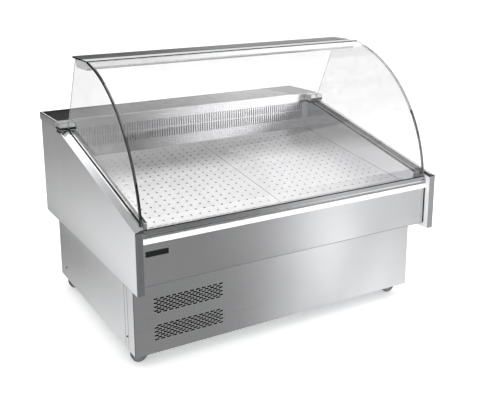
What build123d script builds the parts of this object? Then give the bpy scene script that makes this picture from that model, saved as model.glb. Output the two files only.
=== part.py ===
from build123d import *
from math import atan, atan2, cos, degrees, hypot, radians, sin, sqrt
import os

# Refrigerated serve-over counter on castors, in millimetres.
# X runs along the counter, the customer stands on the -Y side and the floor is Z = 0.

os.makedirs("parts", exist_ok=True)

# Overall size
LENGTH = 1500.0
DEPTH = 1200.0
HEIGHT = 1220.0

# Sheet metal, and the gaps between pieces
SHEET = 1.5
FIT = 0.5
SEAT = 0.3
RUN = 0.05
SWING = 1.5

# Levels above the floor, and the heights that build on them
BASE_BOTTOM = 62.0
TRAY_RISE = 42.0
TUB_BOTTOM = 408.0
END_SKIRT = 20.0
FASCIA_HEIGHT = 172.0
WORKTOP_TOP = 895.0

# End panels, with their sloped rim
END_THICK = 32.0
END_RETURN = 58.0
RIM_STEP = 36.0
RIM_DROP = 49.0
RIM_SHELF = 65.0

# Tub and worktop
FASCIA_RECESS = 28.0
FASCIA_RETURN = 24.0
FRONT_WALL = 38.0
END_WALL = 44.0
REAR_WALL = 30.0
REAR_OVERHANG = 15.0
WORKTOP_DEPTH = 265.0
WORKTOP_LIP = 35.0
WORKTOP_ROUND = 2.5
RAIL_HEIGHT = 22.0
RAIL_PROUD = 6.0
RAIL_WALL = 2.5
RAIL_NOSE = 4.8
FLOOR_FRONT_DROP = 52.0
FLOOR_FALL = 15.0
FLOOR_REAR_RISE = 55.0

# Deck and air path
RETURN_DUCT = 54.0
DECK_DROP = 24.0
DECK_RISE = 112.0
DECK_GAP = 4.0
DECK_SEAM = 1.0
DECK_SHEET = 2.0
DECK_SKIRT = 16.0
DECK_HOLE = 9.0
DECK_PITCH = 42.0
DECK_RAIL = 20.0
GRILLE_LAP = 12.0
GRILLE_SKIRT = 36.0
GRILLE_SLOT = (24.0, 5.0)
GRILLE_PITCH = (31.0, 12.0)
AIR_SLOT = (5.0, 44.0)
AIR_PITCH = (13.5, 50.0)
AIR_ROWS = 2
AIR_TOP = 45.0
RETURN_SLOT = (120.0, 40.0)
RETURN_PITCH = 160.0

# Canopy of glass
GLASS = 8.0
GLASS_LEAN = 3.5
GLASS_SIDE_GAP = 6.0
GLASS_EDGE_GAP = 3.0
HINGE_SETBACK = 34.0
SHOE_RADIUS = 9.0
SHOE_WALL = 3.5
SHOE_GRIP = 8.0
SHOE_LEG = 14.0
PIN_RADIUS = 4.0
PIN_LENGTH = 30.0
BOSS_LENGTH = 26.0
CHANNEL_WALL = 6.0
CHANNEL_FLOOR = 4.0
CHANNEL_HEIGHT = 14.0
CHANNEL_EDGE = 28.0
GASKET = 2.0
GASKET_LIP = 3.0
CLAMP_LENGTH = 61.0
CLAMP_HEIGHT = 34.0
CLAMP_REACH = 32.0
PAD_HEIGHT = 12.0
PAD_INSET = 4.0
PAD_WIDTH = 22.0
HEEL = 12.0
PLATE_SETBACK = 552.0
PLATE_DEPTH = 187.0
PLATE_THICK = 8.0
PLATE_OVERHANG = 3.0
PLATE_ROUND = 2.0
PLATE_NOSE = 62.0
PLATE_STEP = 2.5
GLASS_REAR_INSET = 27.0
GLASS_CORNER = 28.0
LAMP_SETBACK = 10.0
LAMP_DEPTH = 150.0
LAMP_HEIGHT = 38.0
LAMP_WALL = 2.0
LAMP_ROUND = 16.0
DIFFUSER_DEPTH = 96.0
DIFFUSER = 3.0

# Base cabinet
BASE_FRONT_SETBACK = 124.0
BASE_REAR_SETBACK = 96.0
BASE_RETURN = 70.0
BASE_SEAM = 1.0
POST_LEG = (40.0, 96.0)
POST_THICK = 3.0
SCREW_RADIUS = 2.5
SCREW_HEAD = (4.5, 2.6)
SCREW_ROUND = 1.5
SCREW_LENGTH = 9.0
SCREW_INSET = 84.0
SCREW_RISE = 58.0
VENT_SLOT = (20.0, 6.4)
VENT_PITCH = (27.2, 8.6)
VENT_COLUMNS = 12
VENT_ROWS = 8
VENT_HEIGHTS = (150.0, 268.0)
REAR_VENT_INSET = 420.0

# Castors
WHEEL_DIAMETER = 75.0
WHEEL_WIDTH = 24.0
WHEEL_HUB = 9.0
WHEEL_WEB = 14.4
WHEEL_RIM = 26.0
WHEEL_BEVEL = 3.5
AXLE_RADIUS = 5.0
TRAIL = 28.0
CASTOR_INSET = (74.0, 76.0)
CASTOR_PLATE = (86.0, 4.0)
KINGPIN_RADIUS = 6.0
KINGPIN_HEAD = 9.0
BEARING = (19.0, 4.0)
CROWN = 6.0
FORK_WALL = 3.5
FORK_GAP = 1.3
FORK_BOSS = 13.0

# Evaporator behind the air panel
FAN_BOARD_SETBACK = 35.0
FAN_INSET = 130.0
FAN_RISE = 100.0
FAN_RADIUS = 70.0
FAN_TIP_GAP = 5.0
FAN_HUB = (18.0, 20.0)
FAN_CHORD = 24.0
FAN_BLADES = 5
BLADE_PITCH = 35.0
BLADE_ROOT = 3.0
SHAFT_RADIUS = 4.0
MOTOR = (26.0, 36.0)
MOTOR_STRAP = (14.0, 4.0)
COIL_END_GAP = 242.0
COIL_DEPTH = 96.0
COIL_HEIGHT = 150.0
COIL_SETBACK = 100.0
COIL_FOOT = 8.0
HEADER_RISE = (50.0, 92.0)

# Condensing unit in the base
UNIT_INSET = 280.0
CONDENSER = (340.0, 50.0, 250.0)
CONDENSER_SETBACK = 30.0
SHROUD_DEPTH = 56.0
UNIT_FAN_RADIUS = 104.0
UNIT_FAN_HUB = (26.0, 26.0)
UNIT_FAN_CHORD = 34.0
UNIT_MOTOR = (38.0, 58.0)
COMPRESSOR_RADIUS = 92.0
COMPRESSOR_HEIGHT = 205.0
COMPRESSOR_SETBACK = 510.0
COMPRESSOR_FOOT = (220.0, 150.0, 4.0)
COMPRESSOR_PAD = (14.0, 12.0)
RECEIVER = (45.0, 180.0)
RECEIVER_OFFSET = 280.0
RECEIVER_SETBACK = 480.0
SUCTION_PIPE = 8.0
LIQUID_PIPE = 5.0
PIPE_BEND = 26.0
PIPE_HOLE = 2.0
SUCTION_RISER = (210.0, 118.0)
LIQUID_RISER = (170.0, 144.0)

# Drain with its valve
DRAIN_INSET = 500.0
DRAIN_SETBACK = 200.0
DRAIN_PIPE = (20.0, 17.0)
DRAIN_RUN_Z = 176.0
DRAIN_BEND = 60.0
VALVE = (28.0, 44.0)
STEM = (7.0, 16.0)
LEVER = (92.0, 16.0, 5.0)

# Controls on the operator's side
CONTROL_INSET = 320.0
CONTROL_DROP = 108.0
BEZEL = (168.0, 64.0, 8.0)
BEZEL_ROUND = 8.0
CONTROL_BOX = (150.0, 50.0, 18.0)
DISPLAY = (58.0, 30.0, 1.5)
DISPLAY_X = 40.0
KEY_RADIUS = 6.0
KEY_PROUD = 2.0
KEY_TRAVEL = 1.5
KEY_X = {"key_up": -8.0, "key_down": -28.0}
SWITCH_X = -60.0
SWITCH = (7.0, 12.0)
SWITCH_PROUD = 3.0
SWITCH_DIP = 2.1
GLAND = (11.0, 18.0)
GLAND_NUT = (15.0, 7.0)
GLAND_BORE = 5.5
GLAND_AT = (190.0, 150.0)

# Places worked out from the sizes above
half = LENGTH / 2
y_front = -DEPTH / 2
y_rear = DEPTH / 2
end_out = half - SHEET - FIT
end_in = end_out - END_THICK
tub_half = end_in - FIT
well_half = end_in - END_WALL
panel_rear = y_rear - REAR_OVERHANG
worktop_front = y_rear - WORKTOP_DEPTH
worktop_under = WORKTOP_TOP - SHEET
step_y = worktop_front + SHEET + FIT
fascia_y = y_front + FASCIA_RECESS
well_front = fascia_y + FRONT_WALL
well_rear = panel_rear - REAR_WALL
liner_top = worktop_under - FIT
tray_top = BASE_BOTTOM + TRAY_RISE
end_bottom = TUB_BOTTOM - END_SKIRT
fascia_top = TUB_BOTTOM + FASCIA_HEIGHT
rail_top = fascia_top + RAIL_HEIGHT
rim_front = rail_top + RIM_STEP
rim_rear = WORKTOP_TOP - RIM_DROP
rim_rear_y = worktop_front - RIM_SHELF
rim_run = rim_rear_y - y_front
rim_slope = (rim_rear - rim_front) / rim_run
rim_cos = cos(atan(rim_slope))
rim_sin = sin(atan(rim_slope))
hinge_y = y_front + HINGE_SETBACK
hinge_z = rail_top + SWING + SHOE_RADIUS
ledge_z = hinge_z
drain_y = y_front + DRAIN_SETBACK
floor_front_z = ledge_z - FLOOR_FRONT_DROP
floor_low_z = floor_front_z - FLOOR_FALL
floor_rear_z = floor_low_z + FLOOR_REAR_RISE
deck_front = well_front + RETURN_DUCT
deck_rear = step_y - DECK_GAP
deck_front_z = ledge_z - DECK_DROP
deck_slope = DECK_RISE / (deck_rear - deck_front)
base_half = tub_half
unit_x = -half + UNIT_INSET
drain_x = half - DRAIN_INSET
control_x = half - CONTROL_INSET
coil_half = well_half - COIL_END_GAP
fan_x = coil_half - FAN_INSET
compressor_y = y_front + COMPRESSOR_SETBACK
receiver_x = unit_x + RECEIVER_OFFSET
receiver_y = y_front + RECEIVER_SETBACK
suction_x, suction_y = -half + SUCTION_RISER[0], y_rear - SUCTION_RISER[1]
liquid_x, liquid_y = -half + LIQUID_RISER[0], y_rear - LIQUID_RISER[1]
base_front = y_front + BASE_FRONT_SETBACK
base_rear = y_rear - BASE_REAR_SETBACK
base_top = TUB_BOTTOM - FIT
plate_front = y_front + PLATE_SETBACK
plate_rear = plate_front + PLATE_DEPTH
plate_under = HEIGHT - PLATE_THICK
front_glass_half = end_in - GLASS_SIDE_GAP
side_glass_out = front_glass_half - SEAT
side_glass_in = side_glass_out - GLASS
glass_foot_z = hinge_z + SHOE_LEG

# The front glass is one arc from its foot to the canopy plate
foot = (hinge_y - GLASS / 2, glass_foot_z)
crest = (plate_front - GLASS_EDGE_GAP, HEIGHT - GLASS_EDGE_GAP)
chord = hypot(crest[0] - foot[0], crest[1] - foot[1])
chord_angle = atan2(crest[1] - foot[1], crest[0] - foot[0])
glass_radius = chord / 2 / cos(chord_angle + radians(GLASS_LEAN))
sagitta_leg = sqrt(glass_radius**2 - (chord / 2) ** 2)
arc_y = (foot[0] + crest[0]) / 2 + sagitta_leg * sin(chord_angle)
arc_z = (foot[1] + crest[1]) / 2 - sagitta_leg * cos(chord_angle)
foot_angle = degrees(atan2(foot[1] - arc_z, foot[0] - arc_y))
crest_angle = degrees(atan2(crest[1] - arc_z, crest[0] - arc_y))


def rim_z(y):
    return rim_front + (y - y_front) * rim_slope


def floor_z(y):
    if y < drain_y:
        share = (drain_y - y) / (drain_y - well_front)
        return floor_low_z + share * FLOOR_FALL
    share = min(1.0, (y - drain_y) / (step_y - drain_y))
    return floor_low_z + share * FLOOR_REAR_RISE


def deck_z(y):
    return deck_front_z + (y - deck_front) * deck_slope


def glass_inside_y(z):
    return arc_y - sqrt((glass_radius - GLASS) ** 2 - (z - arc_z) ** 2)


def save(piece, name):
    piece.part.label = name
    export_step(piece.part, f"parts/{name}.step")


def prism(points, x_from, x_to, mode=Mode.ADD, grow=0.0):
    """Extrude a closed YZ outline from one X to another."""
    with BuildSketch(Plane.YZ.offset(x_from)) as outline:
        with BuildLine():
            Polyline(*points, close=True)
        make_face()
        if grow:
            offset(amount=grow, kind=Kind.INTERSECTION)
    extrude(outline.sketch, amount=x_to - x_from, mode=mode)


def block(low, high, mode=Mode.ADD):
    """A box between two corners."""
    middle = [(a + b) / 2 for a, b in zip(low, high)]
    with Locations(tuple(middle)):
        Box(*[abs(b - a) for a, b in zip(low, high)], mode=mode)


def rod(start, end, radius, mode=Mode.ADD):
    """A round bar between two points."""
    start, end = Vector(start), Vector(end)
    with Locations(Plane(origin=(start + end) / 2, z_dir=end - start).location):
        Cylinder(radius, (end - start).length, mode=mode)


def tube(points, radius, bend, bore=0.0):
    """A round pipe along straight runs joined by bends."""
    with BuildLine() as route:
        FilletPolyline(*points, radius=bend)
    start = Plane(origin=points[0], z_dir=route.line % 0)
    with BuildSketch(start) as section:
        Circle(radius)
        if bore:
            Circle(bore, mode=Mode.SUBTRACT)
    sweep(section.sketch, path=route.line)


def glass_band(outer, inner, low_angle, high_angle):
    """A face between two arcs round the centre of the front glass."""
    with BuildLine() as edge:
        big = CenterArc((arc_y, arc_z), outer, high_angle, low_angle - high_angle)
        small = CenterArc((arc_y, arc_z), inner, high_angle, low_angle - high_angle)
        Line(big @ 0, small @ 0)
        Line(big @ 1, small @ 1)
    make_face(edge.edges())


def staggered(columns, rows, pitch, first=0):
    """Centres of a staggered field of slots round its middle."""
    points = []
    for row in range(rows):
        count = columns - (row + first) % 2
        z = ((rows - 1) / 2 - row) * pitch[1]
        points += [((i - (count - 1) / 2) * pitch[0], z) for i in range(count)]
    return points


# End panels: folded pans with a return all round the inner side and a welded hinge pin
side_outline = [
    (y_front, end_bottom),
    (panel_rear, end_bottom),
    (panel_rear, worktop_under),
    (step_y, worktop_under),
    (step_y, rim_rear),
    (rim_rear_y, rim_rear),
    (y_front, rim_front),
]
for name, side in (("left", -1), ("right", 1)):
    with BuildPart() as end_panel:
        prism(side_outline, side * end_out, side * end_in)
        prism(side_outline, side * (end_out - SHEET), side * (end_in + SHEET), Mode.SUBTRACT, -SHEET)
        prism(side_outline, side * (end_in + SHEET), side * end_in, Mode.SUBTRACT, -END_RETURN)
        boss_end = side * (end_in - BOSS_LENGTH)
        rod((side * end_in, hinge_y, hinge_z), (boss_end, hinge_y, hinge_z), SHOE_RADIUS)
        rod((boss_end, hinge_y, hinge_z), (boss_end - side * PIN_LENGTH, hinge_y, hinge_z), PIN_RADIUS)
    save(end_panel, f"end_panel_{name}")

# Front rail: the bright hollow extrusion between fascia and glass
rail_rear = well_front - SHEET - FIT
with BuildPart() as front_rail:
    block((-tub_half, fascia_y - RAIL_PROUD, fascia_top), (tub_half, rail_rear, rail_top))
    nose = front_rail.edges().filter_by(Axis.X).group_by(Axis.Y)[0]
    fillet(nose, RAIL_NOSE)
    block(
        (-tub_half, fascia_y - RAIL_PROUD + RAIL_WALL, fascia_top + RAIL_WALL),
        (tub_half, rail_rear - RAIL_WALL, rail_top - RAIL_WALL),
        Mode.SUBTRACT,
    )
save(front_rail, "front_rail")

# Front fascia: one folded sheet that has a return at its top and runs back under the tub
risers = [
    (suction_x, suction_y, SUCTION_PIPE),
    (liquid_x, liquid_y, LIQUID_PIPE),
    (drain_x, drain_y, DRAIN_PIPE[0]),
]


def riser_holes(z_from, z_to):
    for x, y, radius in risers:
        rod((x, y, z_from), (x, y, z_to), radius + PIPE_HOLE, Mode.SUBTRACT)


with BuildPart() as front_fascia:
    block((-tub_half, fascia_y, TUB_BOTTOM), (tub_half, fascia_y + SHEET, fascia_top))
    block((-tub_half, fascia_y, fascia_top - SHEET), (tub_half, fascia_y + FASCIA_RETURN, fascia_top))
    block((-tub_half, fascia_y, TUB_BOTTOM), (tub_half, panel_rear - SHEET, TUB_BOTTOM + SHEET))
    riser_holes(TUB_BOTTOM - SHEET, TUB_BOTTOM + 2 * SHEET)
save(front_fascia, "front_fascia")

# Tub liner: a welded tank with flanges on its front and side rims
open_top = WORKTOP_TOP + WORKTOP_LIP
well_section = [
    (well_front, open_top),
    (well_front, floor_front_z),
    (drain_y, floor_low_z),
    (step_y, floor_rear_z),
    (well_rear, floor_rear_z),
    (well_rear, open_top),
]


def sky(drop):
    """The space above the rims, lowered by a sheet where it cuts the foam."""
    far_front, far_rear = y_front - rim_rear, y_rear + rim_rear
    return [
        (far_front, rim_z(far_front) - drop),
        (rim_rear_y, rim_rear - drop),
        (step_y, rim_rear - drop),
        (step_y, liner_top),
        (far_rear, liner_top),
        (far_rear, HEIGHT * 2),
        (far_front, HEIGHT * 2),
    ]


flange_front = hinge_y + SHOE_RADIUS + SWING
wall_front = well_front - SHEET
rim_flange = [
    (wall_front, rim_z(wall_front)),
    (rim_rear_y, rim_rear),
    (step_y, rim_rear),
    (step_y, rim_rear - SHEET),
    (rim_rear_y, rim_rear - SHEET),
    (wall_front, rim_z(wall_front) - SHEET),
]
with BuildPart() as liner:
    prism(well_section, -well_half - SHEET, well_half + SHEET, Mode.ADD, SHEET)
    prism(well_section, -well_half, well_half, Mode.SUBTRACT)
    prism(sky(0), -half, half, Mode.SUBTRACT)
    block(
        (-well_half, well_front - 2 * SHEET, ledge_z),
        (well_half, well_front, HEIGHT),
        Mode.SUBTRACT,
    )
    block((-tub_half, flange_front, ledge_z - SHEET), (tub_half, well_front, ledge_z))
    block((-tub_half, flange_front, rail_top), (tub_half, flange_front + SHEET, ledge_z))
    for side in (-1, 1):
        block(
            (side * well_half, wall_front, ledge_z - SHEET),
            (side * tub_half, well_front, rim_z(wall_front)),
        )
        prism(rim_flange, side * well_half, side * tub_half)
    riser_holes(floor_low_z - 2 * SHEET, floor_rear_z + SHEET)
save(liner, "tub_liner")

# Insulation: foam between the liner and the outer skins
control_z = WORKTOP_TOP - CONTROL_DROP
foam_front = fascia_y + SHEET + FIT
foam_rear = panel_rear - SHEET - FIT


def control_box(depth, margin, mode):
    """The box behind the control panel, or the room for it in the skin and the foam."""
    reach_x = CONTROL_BOX[0] / 2 + margin
    reach_z = CONTROL_BOX[1] / 2 + margin
    block(
        (control_x - reach_x, panel_rear - depth, control_z - reach_z),
        (control_x + reach_x, panel_rear, control_z + reach_z),
        mode,
    )


with BuildPart() as insulation:
    block((-tub_half, foam_front, TUB_BOTTOM + SHEET), (tub_half, foam_rear, liner_top))
    prism(well_section, -well_half - SHEET, well_half + SHEET, Mode.SUBTRACT, SHEET)
    prism(sky(SHEET), -half, half, Mode.SUBTRACT)
    block((-half, y_front, fascia_top - SHEET - FIT), (half, well_front + FIT, HEIGHT), Mode.SUBTRACT)
    control_box(CONTROL_BOX[2] + FIT, FIT, Mode.SUBTRACT)
    riser_holes(TUB_BOTTOM, floor_rear_z)
save(insulation, "tub_insulation")

# Worktop: an inverted pan over the rear of the tub
with BuildPart() as worktop:
    block((-half, worktop_front, WORKTOP_TOP - WORKTOP_LIP), (half, y_rear, WORKTOP_TOP))
    fillet(worktop.faces().sort_by(Axis.Z)[-1].edges(), WORKTOP_ROUND)
    block(
        (-half + SHEET, worktop_front + SHEET, WORKTOP_TOP - WORKTOP_LIP),
        (half - SHEET, y_rear - SHEET, worktop_under),
        Mode.SUBTRACT,
    )
save(worktop, "worktop")

# Rear fascia: the operator's side skin, cut out for the control box
with BuildPart() as rear_fascia:
    block((-tub_half, panel_rear - SHEET, TUB_BOTTOM), (tub_half, panel_rear, liner_top))
    control_box(2 * SHEET, FIT, Mode.SUBTRACT)
save(rear_fascia, "rear_fascia")

# Deck: two perforated pans that lift out of the well
deck_angle = atan(deck_slope)
deck_length = (deck_rear - deck_front) / cos(deck_angle)
deck_width = well_half - DECK_GAP / 2 - DECK_SEAM
hole_columns = int((deck_width - 2 * DECK_PITCH / 2) // DECK_PITCH) + 1
hole_rows = int((deck_length - 2 * DECK_PITCH / 2) // DECK_PITCH) + 1
for name, side in (("left", -1), ("right", 1)):
    middle_x = side * (DECK_SEAM + deck_width / 2)
    slope_plane = Plane(
        origin=(middle_x, (deck_front + deck_rear) / 2, deck_z((deck_front + deck_rear) / 2)),
        x_dir=(1, 0, 0),
        z_dir=(0, -sin(deck_angle), cos(deck_angle)),
    )
    with BuildPart() as deck:
        with BuildSketch(slope_plane):
            Rectangle(deck_width, deck_length)
            with GridLocations(DECK_PITCH, DECK_PITCH, hole_columns, hole_rows):
                Circle(DECK_HOLE / 2, mode=Mode.SUBTRACT)
        extrude(amount=-DECK_SHEET)
        with BuildSketch(slope_plane):
            Rectangle(deck_width, deck_length)
            Rectangle(deck_width - 2 * DECK_SHEET, deck_length - 2 * DECK_SHEET, mode=Mode.SUBTRACT)
        extrude(amount=-DECK_SKIRT)
    save(deck, f"deck_{name}")

# Deck rails: bars on legs that stand on the liner's floor, two under each deck panel
with BuildPart() as deck_rails:
    for middle_y in (deck_front + 2 * DECK_RAIL, deck_rear - 2 * DECK_RAIL):
        low_y, high_y = middle_y - DECK_RAIL / 2, middle_y + DECK_RAIL / 2
        under = DECK_SHEET / cos(deck_angle) + SEAT
        bar = [
            (low_y, deck_z(low_y) - under),
            (high_y, deck_z(high_y) - under),
            (high_y, deck_z(high_y) - under - DECK_RAIL / 2),
            (low_y, deck_z(low_y) - under - DECK_RAIL / 2),
        ]
        leg = [
            (low_y, deck_z(low_y) - under - DECK_RAIL / 4),
            (high_y, deck_z(high_y) - under - DECK_RAIL / 4),
            (high_y, floor_z(high_y)),
            (low_y, floor_z(low_y)),
        ]
        for side in (-1, 1):
            bar_from, bar_to = side * DECK_RAIL, side * (well_half - 2 * DECK_RAIL)
            prism(bar, bar_from, bar_to)
            prism(leg, bar_from, bar_from + side * DECK_RAIL)
            prism(leg, bar_to - side * DECK_RAIL, bar_to)
save(deck_rails, "deck_rails")

# Front air grille: a slotted cover over the return duct
grille_rear = deck_front - DECK_GAP
grille_front = well_front - GRILLE_LAP
grille_half = well_half - FIT
grille_columns = int((2 * grille_half - GRILLE_PITCH[0]) // GRILLE_PITCH[0])
with BuildPart() as front_grille:
    with BuildSketch(Plane.XY.offset(ledge_z)):
        with Locations((0, (grille_front + grille_rear) / 2)):
            Rectangle(2 * grille_half, grille_rear - grille_front)
        with Locations((0, (well_front + grille_rear) / 2)):
            with Locations(*staggered(grille_columns, 3, GRILLE_PITCH)):
                SlotOverall(*GRILLE_SLOT, mode=Mode.SUBTRACT)
    extrude(amount=SHEET)
    block(
        (-grille_half, grille_rear - SHEET, ledge_z - GRILLE_SKIRT),
        (grille_half, grille_rear, ledge_z + SHEET),
    )
save(front_grille, "front_air_grille")

# Rear air panel: two rows of upright slots over a row of return openings
air_half = well_half - FIT
air_columns = int((2 * air_half - 2 * AIR_PITCH[0]) // AIR_PITCH[0])
air_middle_z = WORKTOP_TOP - AIR_TOP - (AIR_ROWS * AIR_PITCH[1]) / 2
return_columns = int((2 * air_half - RETURN_SLOT[0]) // RETURN_PITCH)
with BuildPart() as air_panel:
    with BuildSketch(Plane.XZ.offset(-step_y)):
        with Locations((0, (floor_rear_z + liner_top) / 2)):
            Rectangle(2 * air_half, liner_top - floor_rear_z)
        with Locations((0, air_middle_z)):
            with GridLocations(*AIR_PITCH, air_columns, AIR_ROWS):
                SlotOverall(AIR_SLOT[1], AIR_SLOT[0], rotation=90, mode=Mode.SUBTRACT)
        with Locations((0, floor_rear_z + RETURN_SLOT[1])):
            with GridLocations(RETURN_PITCH, RETURN_PITCH, return_columns, 1):
                SlotOverall(*RETURN_SLOT, mode=Mode.SUBTRACT)
    extrude(amount=-SHEET)
save(air_panel, "rear_air_panel")

# Curved front glass and the shoe that turns on the hinge pins, with a grip that also covers their bosses
with BuildPart() as front_glass:
    with BuildSketch(Plane.YZ.offset(-front_glass_half)):
        glass_band(glass_radius, glass_radius - GLASS, foot_angle, crest_angle)
    extrude(amount=2 * front_glass_half)
save(front_glass, "front_glass")

shoe_half = end_in - BOSS_LENGTH - SEAT
shoe_width = GLASS + 2 * SHOE_WALL
grip_front, grip_rear = hinge_y - shoe_width / 2, hinge_y + shoe_width / 2
grip_under, grip_top = hinge_z + SHOE_RADIUS + SWING, hinge_z + SHOE_LEG + SHOE_GRIP
slip_angle = degrees(SEAT / glass_radius)
grip_angle = degrees((SHOE_GRIP + 2 * SHOE_RADIUS) / glass_radius)
with BuildPart() as shoe:
    with BuildSketch(Plane.YZ.offset(-shoe_half)):
        with Locations((hinge_y, hinge_z)):
            Circle(SHOE_RADIUS)
        with Locations((hinge_y, (hinge_z + grip_top) / 2)):
            Rectangle(shoe_width, grip_top - hinge_z)
    extrude(amount=2 * shoe_half)
    block((-front_glass_half, grip_front, grip_under), (front_glass_half, grip_rear, grip_top))
    with BuildSketch(Plane.YZ.offset(-half)) as glass_slot:
        slot_outer, slot_inner = glass_radius + SEAT, glass_radius - GLASS - SEAT
        glass_band(slot_outer, slot_inner, foot_angle + slip_angle, foot_angle - grip_angle)
    extrude(glass_slot.sketch, amount=LENGTH, mode=Mode.SUBTRACT)
    for side in (-1, 1):
        rod(
            (side * shoe_half, hinge_y, hinge_z),
            (side * (shoe_half - PIN_LENGTH - SWING), hinge_y, hinge_z),
            PIN_RADIUS + RUN,
            Mode.SUBTRACT,
        )
save(shoe, "glass_shoe")

# Glass channels on the sloped rims, with their gaskets and the side glasses
groove_out = side_glass_out + GASKET
groove_in = side_glass_in - GASKET
channel_in = groove_in - CHANNEL_WALL
glass_rise = CHANNEL_FLOOR + GASKET
front_cut = glass_inside_y(rim_front + CHANNEL_HEIGHT * 2) + GLASS_EDGE_GAP
slope_length = rim_run / rim_cos + CHANNEL_HEIGHT
rim_plane = Plane(
    origin=(0, rim_rear_y, rim_rear),
    x_dir=(1, 0, 0),
    z_dir=(0, -rim_cos, -rim_sin),
)
channel_section = [
    (end_out, 0),
    (end_out, CHANNEL_FLOOR),
    (end_out - CHANNEL_EDGE, CHANNEL_HEIGHT),
    (groove_out, CHANNEL_HEIGHT),
    (groove_out, CHANNEL_FLOOR),
    (groove_in, CHANNEL_FLOOR),
    (groove_in, CHANNEL_HEIGHT),
    (channel_in, CHANNEL_HEIGHT),
    (channel_in, 0),
]
gasket_section = [
    (groove_out, CHANNEL_FLOOR),
    (groove_out, CHANNEL_HEIGHT + GASKET_LIP),
    (side_glass_out, CHANNEL_HEIGHT + GASKET_LIP),
    (side_glass_out, glass_rise),
    (side_glass_in, glass_rise),
    (side_glass_in, CHANNEL_HEIGHT + GASKET_LIP),
    (groove_in, CHANNEL_HEIGHT + GASKET_LIP),
    (groove_in, CHANNEL_FLOOR),
]


def along_rim(points, side):
    """Extrude a section down the sloped rim and trim it clear of the front glass."""
    with BuildSketch(rim_plane) as section:
        with BuildLine():
            Polyline(*[(side * x, n) for x, n in points], close=True)
        make_face()
    extrude(section.sketch, amount=slope_length)
    trim_top = HEIGHT
    block((-half, y_front - DEPTH, 0), (half, y_front, trim_top), Mode.SUBTRACT)
    clear_half = front_glass_half + GLASS_EDGE_GAP
    block((-clear_half, y_front - DEPTH, 0), (clear_half, front_cut, trim_top), Mode.SUBTRACT)


for name, side in (("left", -1), ("right", 1)):
    with BuildPart() as channel:
        along_rim(channel_section, side)
    save(channel, f"glass_channel_{name}")

with BuildPart() as gasket_left:
    along_rim(gasket_section, -1)
with BuildPart() as gaskets:
    add(gasket_left.part)
    add(mirror(gasket_left.part, about=Plane.YZ, mode=Mode.PRIVATE))
save(gaskets, "side_gaskets")

clamp_rear = worktop_front - 2 * FIT
clamp_front = clamp_rear - CLAMP_LENGTH
clamp_under = rim_rear + PAD_HEIGHT
heel_y = clamp_front + HEEL
glass_edge_radius = glass_radius - GLASS - GLASS_EDGE_GAP
top_rear = (plate_rear - GLASS_REAR_INSET, plate_under)
side_glass_outline = [
    (y_front, rim_z(y_front) + glass_rise / rim_cos),
    (rim_rear_y, rim_rear + glass_rise / rim_cos),
    (heel_y, rim_rear + glass_rise / rim_cos),
    top_rear,
    (y_front, plate_under),
]
for name, side in (("left", -1), ("right", 1)):
    with BuildPart() as side_glass:
        with BuildSketch(Plane.YZ.offset(side * side_glass_in)) as pane:
            with BuildLine():
                Polyline(*side_glass_outline, close=True)
            make_face()
            fillet(pane.vertices().sort_by_distance((*top_rear, 0))[0], GLASS_CORNER)
            with Locations((arc_y, arc_z)):
                Circle(glass_edge_radius, mode=Mode.INTERSECT)
        extrude(amount=side * GLASS)
    save(side_glass, f"side_glass_{name}")

# Clamps at the rear foot of each side glass, on rubber pads
clamp_in = side_glass_in - CLAMP_REACH
with BuildPart() as clamps:
    for side in (-1, 1):
        block(
            (side * clamp_in, clamp_front, clamp_under),
            (side * end_out, clamp_rear, clamp_under + CLAMP_HEIGHT),
        )
    fillet(clamps.edges().filter_by(Axis.Y), FIT * 4)
    for side in (-1, 1):
        block(
            (side * (side_glass_in - SEAT), clamp_front - FIT, clamp_under - FIT),
            (side * (side_glass_out + SEAT), heel_y + HEEL, clamp_under + CLAMP_HEIGHT + FIT),
            Mode.SUBTRACT,
        )
save(clamps, "glass_clamps")

with BuildPart() as pads:
    for side in (-1, 1):
        for pad_x in (clamp_in + PAD_INSET, end_out - PAD_INSET - PAD_WIDTH):
            block(
                (side * pad_x, clamp_front + PAD_INSET, rim_rear),
                (side * (pad_x + PAD_WIDTH), clamp_rear - PAD_INSET, clamp_under),
            )
save(pads, "clamp_pads")

# Canopy plate, a step lower along its front, with the lamp housing under it
plate_half = side_glass_out + PLATE_OVERHANG
nose_rear = plate_front + PLATE_NOSE
nose_top = HEIGHT - PLATE_STEP
with BuildPart() as canopy_plate:
    block((-plate_half, nose_rear, plate_under), (plate_half, plate_rear, HEIGHT))
    fillet(canopy_plate.faces().sort_by(Axis.Z)[-1].edges(), PLATE_ROUND)
    block((-plate_half, plate_front, plate_under), (plate_half, nose_rear, nose_top))
    fillet(canopy_plate.edges().group_by(Axis.Y)[0].sort_by(Axis.Z)[-1], PLATE_ROUND)
save(canopy_plate, "canopy_plate")

lamp_front = plate_front + LAMP_SETBACK
lamp_rear = lamp_front + LAMP_DEPTH
lamp_under = plate_under - LAMP_HEIGHT
lamp_half = side_glass_in - FIT
lamp_middle = ((lamp_front + lamp_rear) / 2, (lamp_under + plate_under) / 2)


def lamp_face(inset):
    """The housing's section: a box with rounded lower corners."""
    with Locations(lamp_middle):
        outer = Rectangle(LAMP_DEPTH - 2 * inset, LAMP_HEIGHT - 2 * inset)
    fillet(outer.vertices().group_by(Axis.Y)[0], LAMP_ROUND - inset)


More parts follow.
